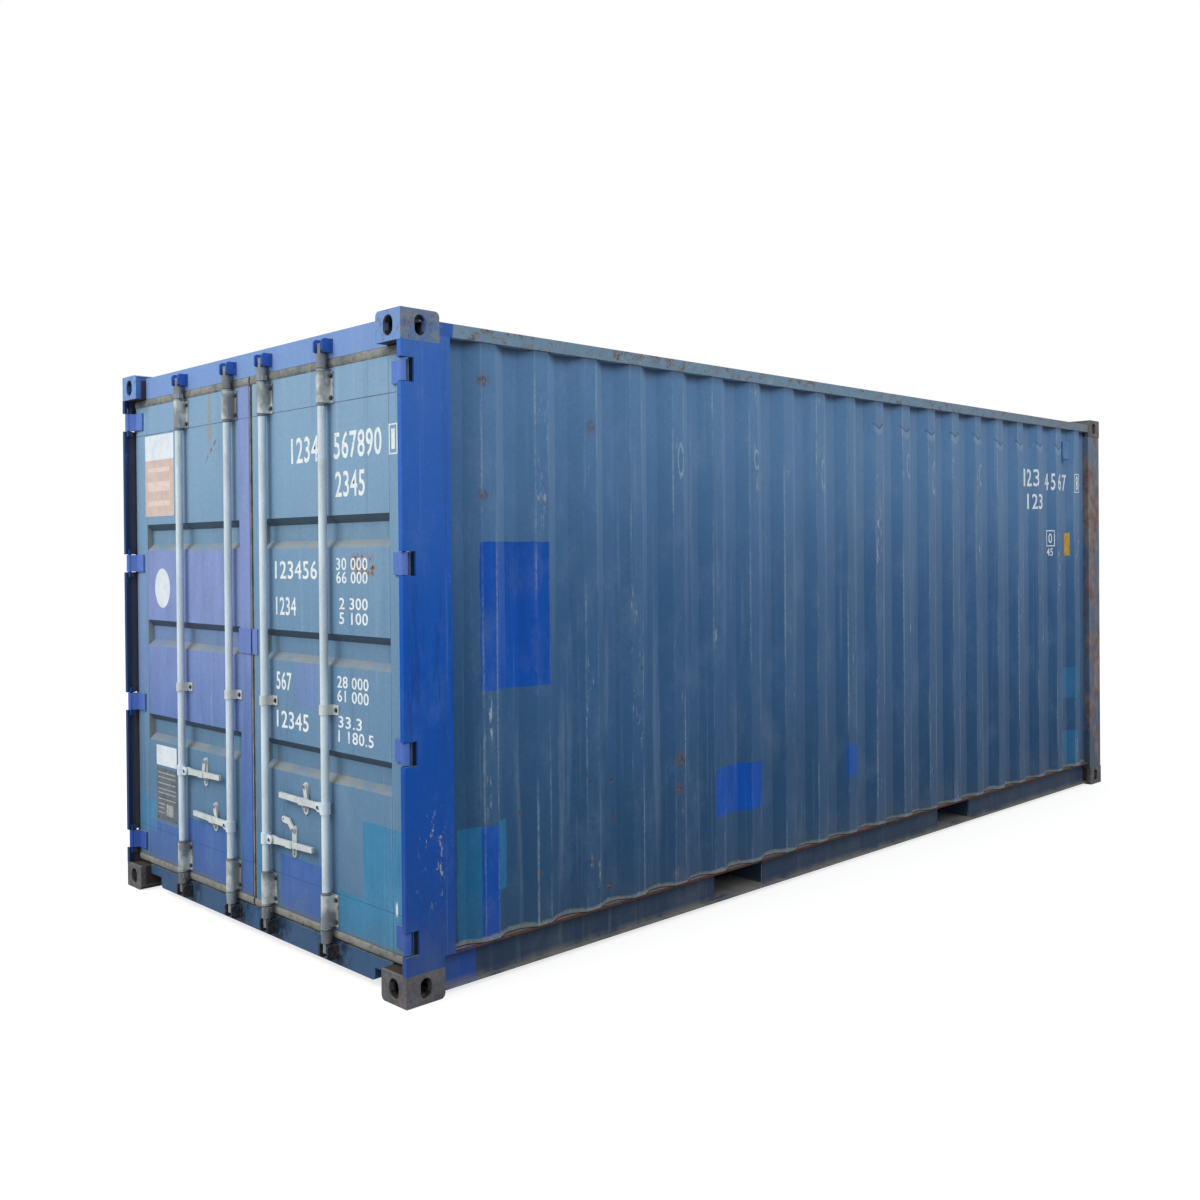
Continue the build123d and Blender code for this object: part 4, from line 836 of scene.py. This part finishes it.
def applied(name, shapes, where, body, look, thick=0.0008):
    """Thin marks cut from outlines or letters, laid on the leaf or bent over the folds of the side."""
    bm = bmesh.new()
    for shape in shapes:
        if isinstance(shape, bpy.types.Mesh):
            bm.from_mesh(shape)
        else:
            bm.faces.new([bm.verts.new((u, v, 0)) for u, v in shape])
    bmesh.ops.remove_doubles(bm, verts=bm.verts, dist=1e-6)
    if where == "side":
        low = min(v.co.x for v in bm.verts)
        high = max(v.co.x for v in bm.verts)
        for turn in range(int((low - FIRST_RISE) / PITCH) - 1, int((high - FIRST_RISE) / PITCH) + 2):
            for fold in (0, SLOPE, SLOPE + CREST, 2 * SLOPE + CREST):
                cut = FIRST_RISE + turn * PITCH + fold
                if low < cut < high:
                    bmesh.ops.bisect_plane(bm, geom=bm.verts[:] + bm.edges[:] + bm.faces[:], plane_co=(cut, 0, 0),
                                           plane_no=(1, 0, 0))
    bmesh.ops.recalc_face_normals(bm, faces=bm.faces)
    grown = bmesh.ops.extrude_face_region(bm, geom=bm.faces[:])
    for vertex in [g for g in grown["geom"] if isinstance(g, bmesh.types.BMVert)]:
        vertex.co.z = thick
    for vertex in bm.verts:
        u, v, w = vertex.co
        vertex.co = (side_surface(u) + w, u, v) if where == "side" else (u, LEAF_Y - w, v)
    return piece(name, from_bmesh(bm, name), body, look)


def box_shape(u0, u1, v0, v1):
    return [(u0, v0), (u1, v0), (u1, v1), (u0, v1)]


def rounded(u0, u1, v0, v1, radius, steps=6):
    out = []
    for cu, cv, start in ((u1 - radius, v0 + radius, -90), (u1 - radius, v1 - radius, 0),
                          (u0 + radius, v1 - radius, 90), (u0 + radius, v0 + radius, 180)):
        for i in range(steps + 1):
            a = math.radians(start + 90 * i / steps)
            out.append((cu + radius * math.cos(a), cv + radius * math.sin(a)))
    return out


def digits(text, u0, u1, v0, v1):
    """Plain figures as flat meshes that fill a box."""
    curve = bpy.data.curves.new("digits", "FONT")
    curve.body = text
    curve.resolution_u = 3
    curve.offset = 0.012
    curve.space_character = 1.06
    holder = bpy.data.objects.new("digits", curve)
    scene.collection.objects.link(holder)
    bpy.context.view_layer.update()
    mesh = bpy.data.meshes.new_from_object(holder)
    bpy.data.objects.remove(holder)
    xs = [v.co.x for v in mesh.vertices]
    ys = [v.co.y for v in mesh.vertices]
    for v in mesh.vertices:
        v.co = (u0 + (v.co.x - min(xs)) / (max(xs) - min(xs)) * (u1 - u0),
                v0 + (v.co.y - min(ys)) / (max(ys) - min(ys)) * (v1 - v0), 0)
    return mesh


def frame_shape(u0, u1, v0, v1, line):
    return [box_shape(u0, u1, v1 - line, v1), box_shape(u0, u1, v0, v0 + line),
            box_shape(u0, u0 + line, v0 + line, v1 - line), box_shape(u1 - line, u1, v0 + line, v1 - line)]


# plain figures on the right leaf and the right side: what they say, then their box
FIGURE = 0.0004
ROWS = [
    ("1234", 0.346, 0.560, 2.062, 2.171), ("567890", 0.677, 1.013, 2.062, 2.171), ("1", 1.078, 1.101, 2.078, 2.156),
    ("2345", 0.685, 0.896, 1.910, 2.014),
    ("123456", 0.202, 0.541, 1.579, 1.656), ("1234", 0.208, 0.373, 1.424, 1.502),
    ("567", 0.205, 0.330, 1.104, 1.182), ("12345", 0.205, 0.464, 0.942, 1.016),
    ("30 000", 0.685, 0.909, 1.618, 1.668), ("66 000", 0.685, 0.909, 1.565, 1.613),
    ("2 300", 0.705, 0.909, 1.461, 1.508), ("5 100", 0.705, 0.909, 1.402, 1.450),
    ("28 000", 0.685, 0.909, 1.146, 1.194), ("61 000", 0.685, 0.909, 1.090, 1.138),
    ("33.3", 0.690, 0.860, 0.986, 1.034), ("1 180.5", 0.690, 0.940, 0.928, 0.977),
]
applied("right_door_figures", [digits(*row) for row in ROWS] + frame_shape(1.061, 1.117, 2.058, 2.175, 0.006),
        "rear", "right_door", "white", FIGURE)
SIDE_ROWS = [
    ("1", 1.952, 1.974, 2.095, 2.210), ("2", 1.998, 2.038, 2.095, 2.210), ("3", 2.048, 2.100, 2.095, 2.210),
    ("4", 2.256, 2.302, 2.078, 2.192), ("5", 2.318, 2.350, 2.078, 2.192), ("6", 2.384, 2.424, 2.078, 2.192),
    ("7", 2.520, 2.576, 2.078, 2.192), ("8", 2.658, 2.690, 2.085, 2.185),
    ("1", 2.000, 2.018, 1.945, 2.046), ("2", 2.040, 2.080, 1.945, 2.046), ("3", 2.094, 2.146, 1.945, 2.046),
    ("0", 2.298, 2.324, 1.718, 1.784), ("45", 2.284, 2.330, 1.632, 1.684),
]
applied("side_figures", [digits(*row) for row in SIDE_ROWS] + frame_shape(2.638, 2.708, 2.070, 2.200, 0.006)
        + frame_shape(2.278, 2.344, 1.696, 1.806, 0.007), "side", "container", "white", FIGURE)
applied("side_yellow_label", [box_shape(2.546, 2.598, 1.632, 1.790)], "side", "container", "yellow")

# blank labels and the plate on the left leaf
PLATE = 0.0012


def on_left_leaf(name, shapes, look, thick=0.0008):
    applied(name, shapes, "rear", "left_door", look, thick)


on_left_leaf("blank_label_white", [rounded(-1.078, -0.760, 2.158, 2.283, 0.006)], "vinyl")
on_left_leaf("blank_label_salmon", [rounded(-1.078, -0.760, 1.878, 2.1575, 0.006)], "salmon")
bars = ((2.098, 2.120), (2.003, 2.050), (1.930, 1.955))
on_left_leaf("blank_label_bars", [rounded(-1.05, -0.80, z0, z1, 0.004) for z0, z1 in bars], "salmon_pale",
             thick=0.0011)
oval = [(-0.8965 + 0.0825 * math.cos(a), 1.5215 + 0.0975 * math.sin(a))
        for a in (2 * math.pi * i / 40 for i in range(40))]
on_left_leaf("white_oval", [oval], "vinyl", thick=0.0005)
on_left_leaf("blank_label_small", [rounded(-0.982, -0.760, 0.640, 0.739, 0.004)], "vinyl")
on_left_leaf("data_plate", [rounded(-0.979, -0.760, 0.368, 0.627, 0.008)], "plate", PLATE)
marks = [box_shape(-0.965, -0.775, z, z + 0.006) for z in (0.600, 0.578, 0.548, 0.520, 0.500, 0.470)]
marks += [box_shape(-0.875, -0.800, 0.395, 0.452), box_shape(-0.965, -0.895, 0.445, 0.451),
          box_shape(-0.965, -0.895, 0.425, 0.431), box_shape(-0.965, -0.895, 0.402, 0.408)]
on_left_leaf("data_plate_marks", marks, "plate_mark", 0.0015)
bm = bmesh.new()
for x in (-0.970, -0.769):
    for z in (0.377, 0.618):
        turned(bm, (x, LEAF_Y - PLATE, z), ((0.004, -0.0005), (0.004, 0.0006), (0.002, 0.0016)), 10, REARWARD)
piece("data_plate_rivets", from_bmesh(bm, "rivets"), "left_door", "bolt")


def seen_share(tree):
    """One on rays from the camera and on mirrored ones, else nought."""
    path = tree.nodes.new("ShaderNodeLightPath")
    seen = tree.nodes.new("ShaderNodeMath")
    seen.operation = "MAXIMUM"
    tree.links.new(path.outputs["Is Camera Ray"], seen.inputs[0])
    tree.links.new(path.outputs["Is Glossy Ray"], seen.inputs[1])
    return seen.outputs[0]


# pale ground under the part
REACH, GROUND_Z = 60, -0.002
corners = [(x, y, GROUND_Z) for x, y in ((-REACH, -REACH), (REACH, -REACH), (REACH, REACH), (-REACH, REACH))]
floor_mesh = bpy.data.meshes.new("floor")
floor_mesh.from_pydata(corners, [], [(0, 1, 2, 3)])
floor = bpy.data.objects.new("floor", floor_mesh)
scene.collection.objects.link(floor)
pale = bpy.data.materials.new("floor_pale")
pale.use_nodes = True
tree = pale.node_tree
shader = tree.nodes["Principled BSDF"]
shader.inputs["Base Color"].default_value = (0.30, 0.30, 0.30, 1)
shader.inputs["Roughness"].default_value = 0.9
shader.inputs["Specular IOR Level"].default_value = 0.0
glow = tree.nodes.new("ShaderNodeEmission")
blend = tree.nodes.new("ShaderNodeAddShader")
share = tree.nodes.new("ShaderNodeMath")
share.operation = "MULTIPLY"
share.inputs[1].default_value = 0.74
tree.links.new(seen_share(tree), share.inputs[0])
tree.links.new(share.outputs[0], glow.inputs["Strength"])
tree.links.new(shader.outputs[0], blend.inputs[0])
tree.links.new(glow.outputs[0], blend.inputs[1])
tree.links.new(blend.outputs[0], tree.nodes["Material Output"].inputs[0])
floor_mesh.materials.append(pale)
floor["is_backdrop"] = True

# sky that is brighter overhead, and white where it is seen
world = bpy.data.worlds.new("studio")
scene.world = world
world.use_nodes = True
tree = world.node_tree
sky = tree.nodes["Background"]
place = tree.nodes.new("ShaderNodeTexCoord")
parts = tree.nodes.new("ShaderNodeSeparateXYZ")
dome = tree.nodes.new("ShaderNodeMapRange")
dome.inputs["From Min"].default_value = 0.0
dome.inputs["From Max"].default_value = 0.9
dome.inputs["To Min"].default_value = 0.30
dome.inputs["To Max"].default_value = 1.25
level = tree.nodes.new("ShaderNodeMix")
level.inputs["B"].default_value = 1.0
tree.links.new(place.outputs["Generated"], parts.inputs[0])
tree.links.new(parts.outputs["Z"], dome.inputs["Value"])
tree.links.new(seen_share(tree), level.inputs["Factor"])
tree.links.new(dome.outputs[0], level.inputs["A"])
tree.links.new(level.outputs[0], sky.inputs["Strength"])
sky.inputs["Color"].default_value = (1, 1, 1, 1)


def lamp(name, place, target, size, power, colour=(1, 1, 1)):
    data = bpy.data.lights.new(name, "AREA")
    data.shape = "DISK"
    data.size = size
    data.energy = power
    data.color = colour
    made = bpy.data.objects.new(name, data)
    made.location = place
    made.rotation_mode = "QUATERNION"
    made.rotation_quaternion = (Vector(target) - Vector(place)).to_track_quat("-Z", "Y")
    scene.collection.objects.link(made)


lamp("key", (-3.0, -13.0, 11.0), (0, -2.5, 1.2), 12.0, 1750, (1.0, 0.99, 0.96))
lamp("fill", (12.0, -1.0, 10.0), (0, 0, 1.2), 10.0, 650, (0.96, 0.98, 1.0))

low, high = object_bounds()
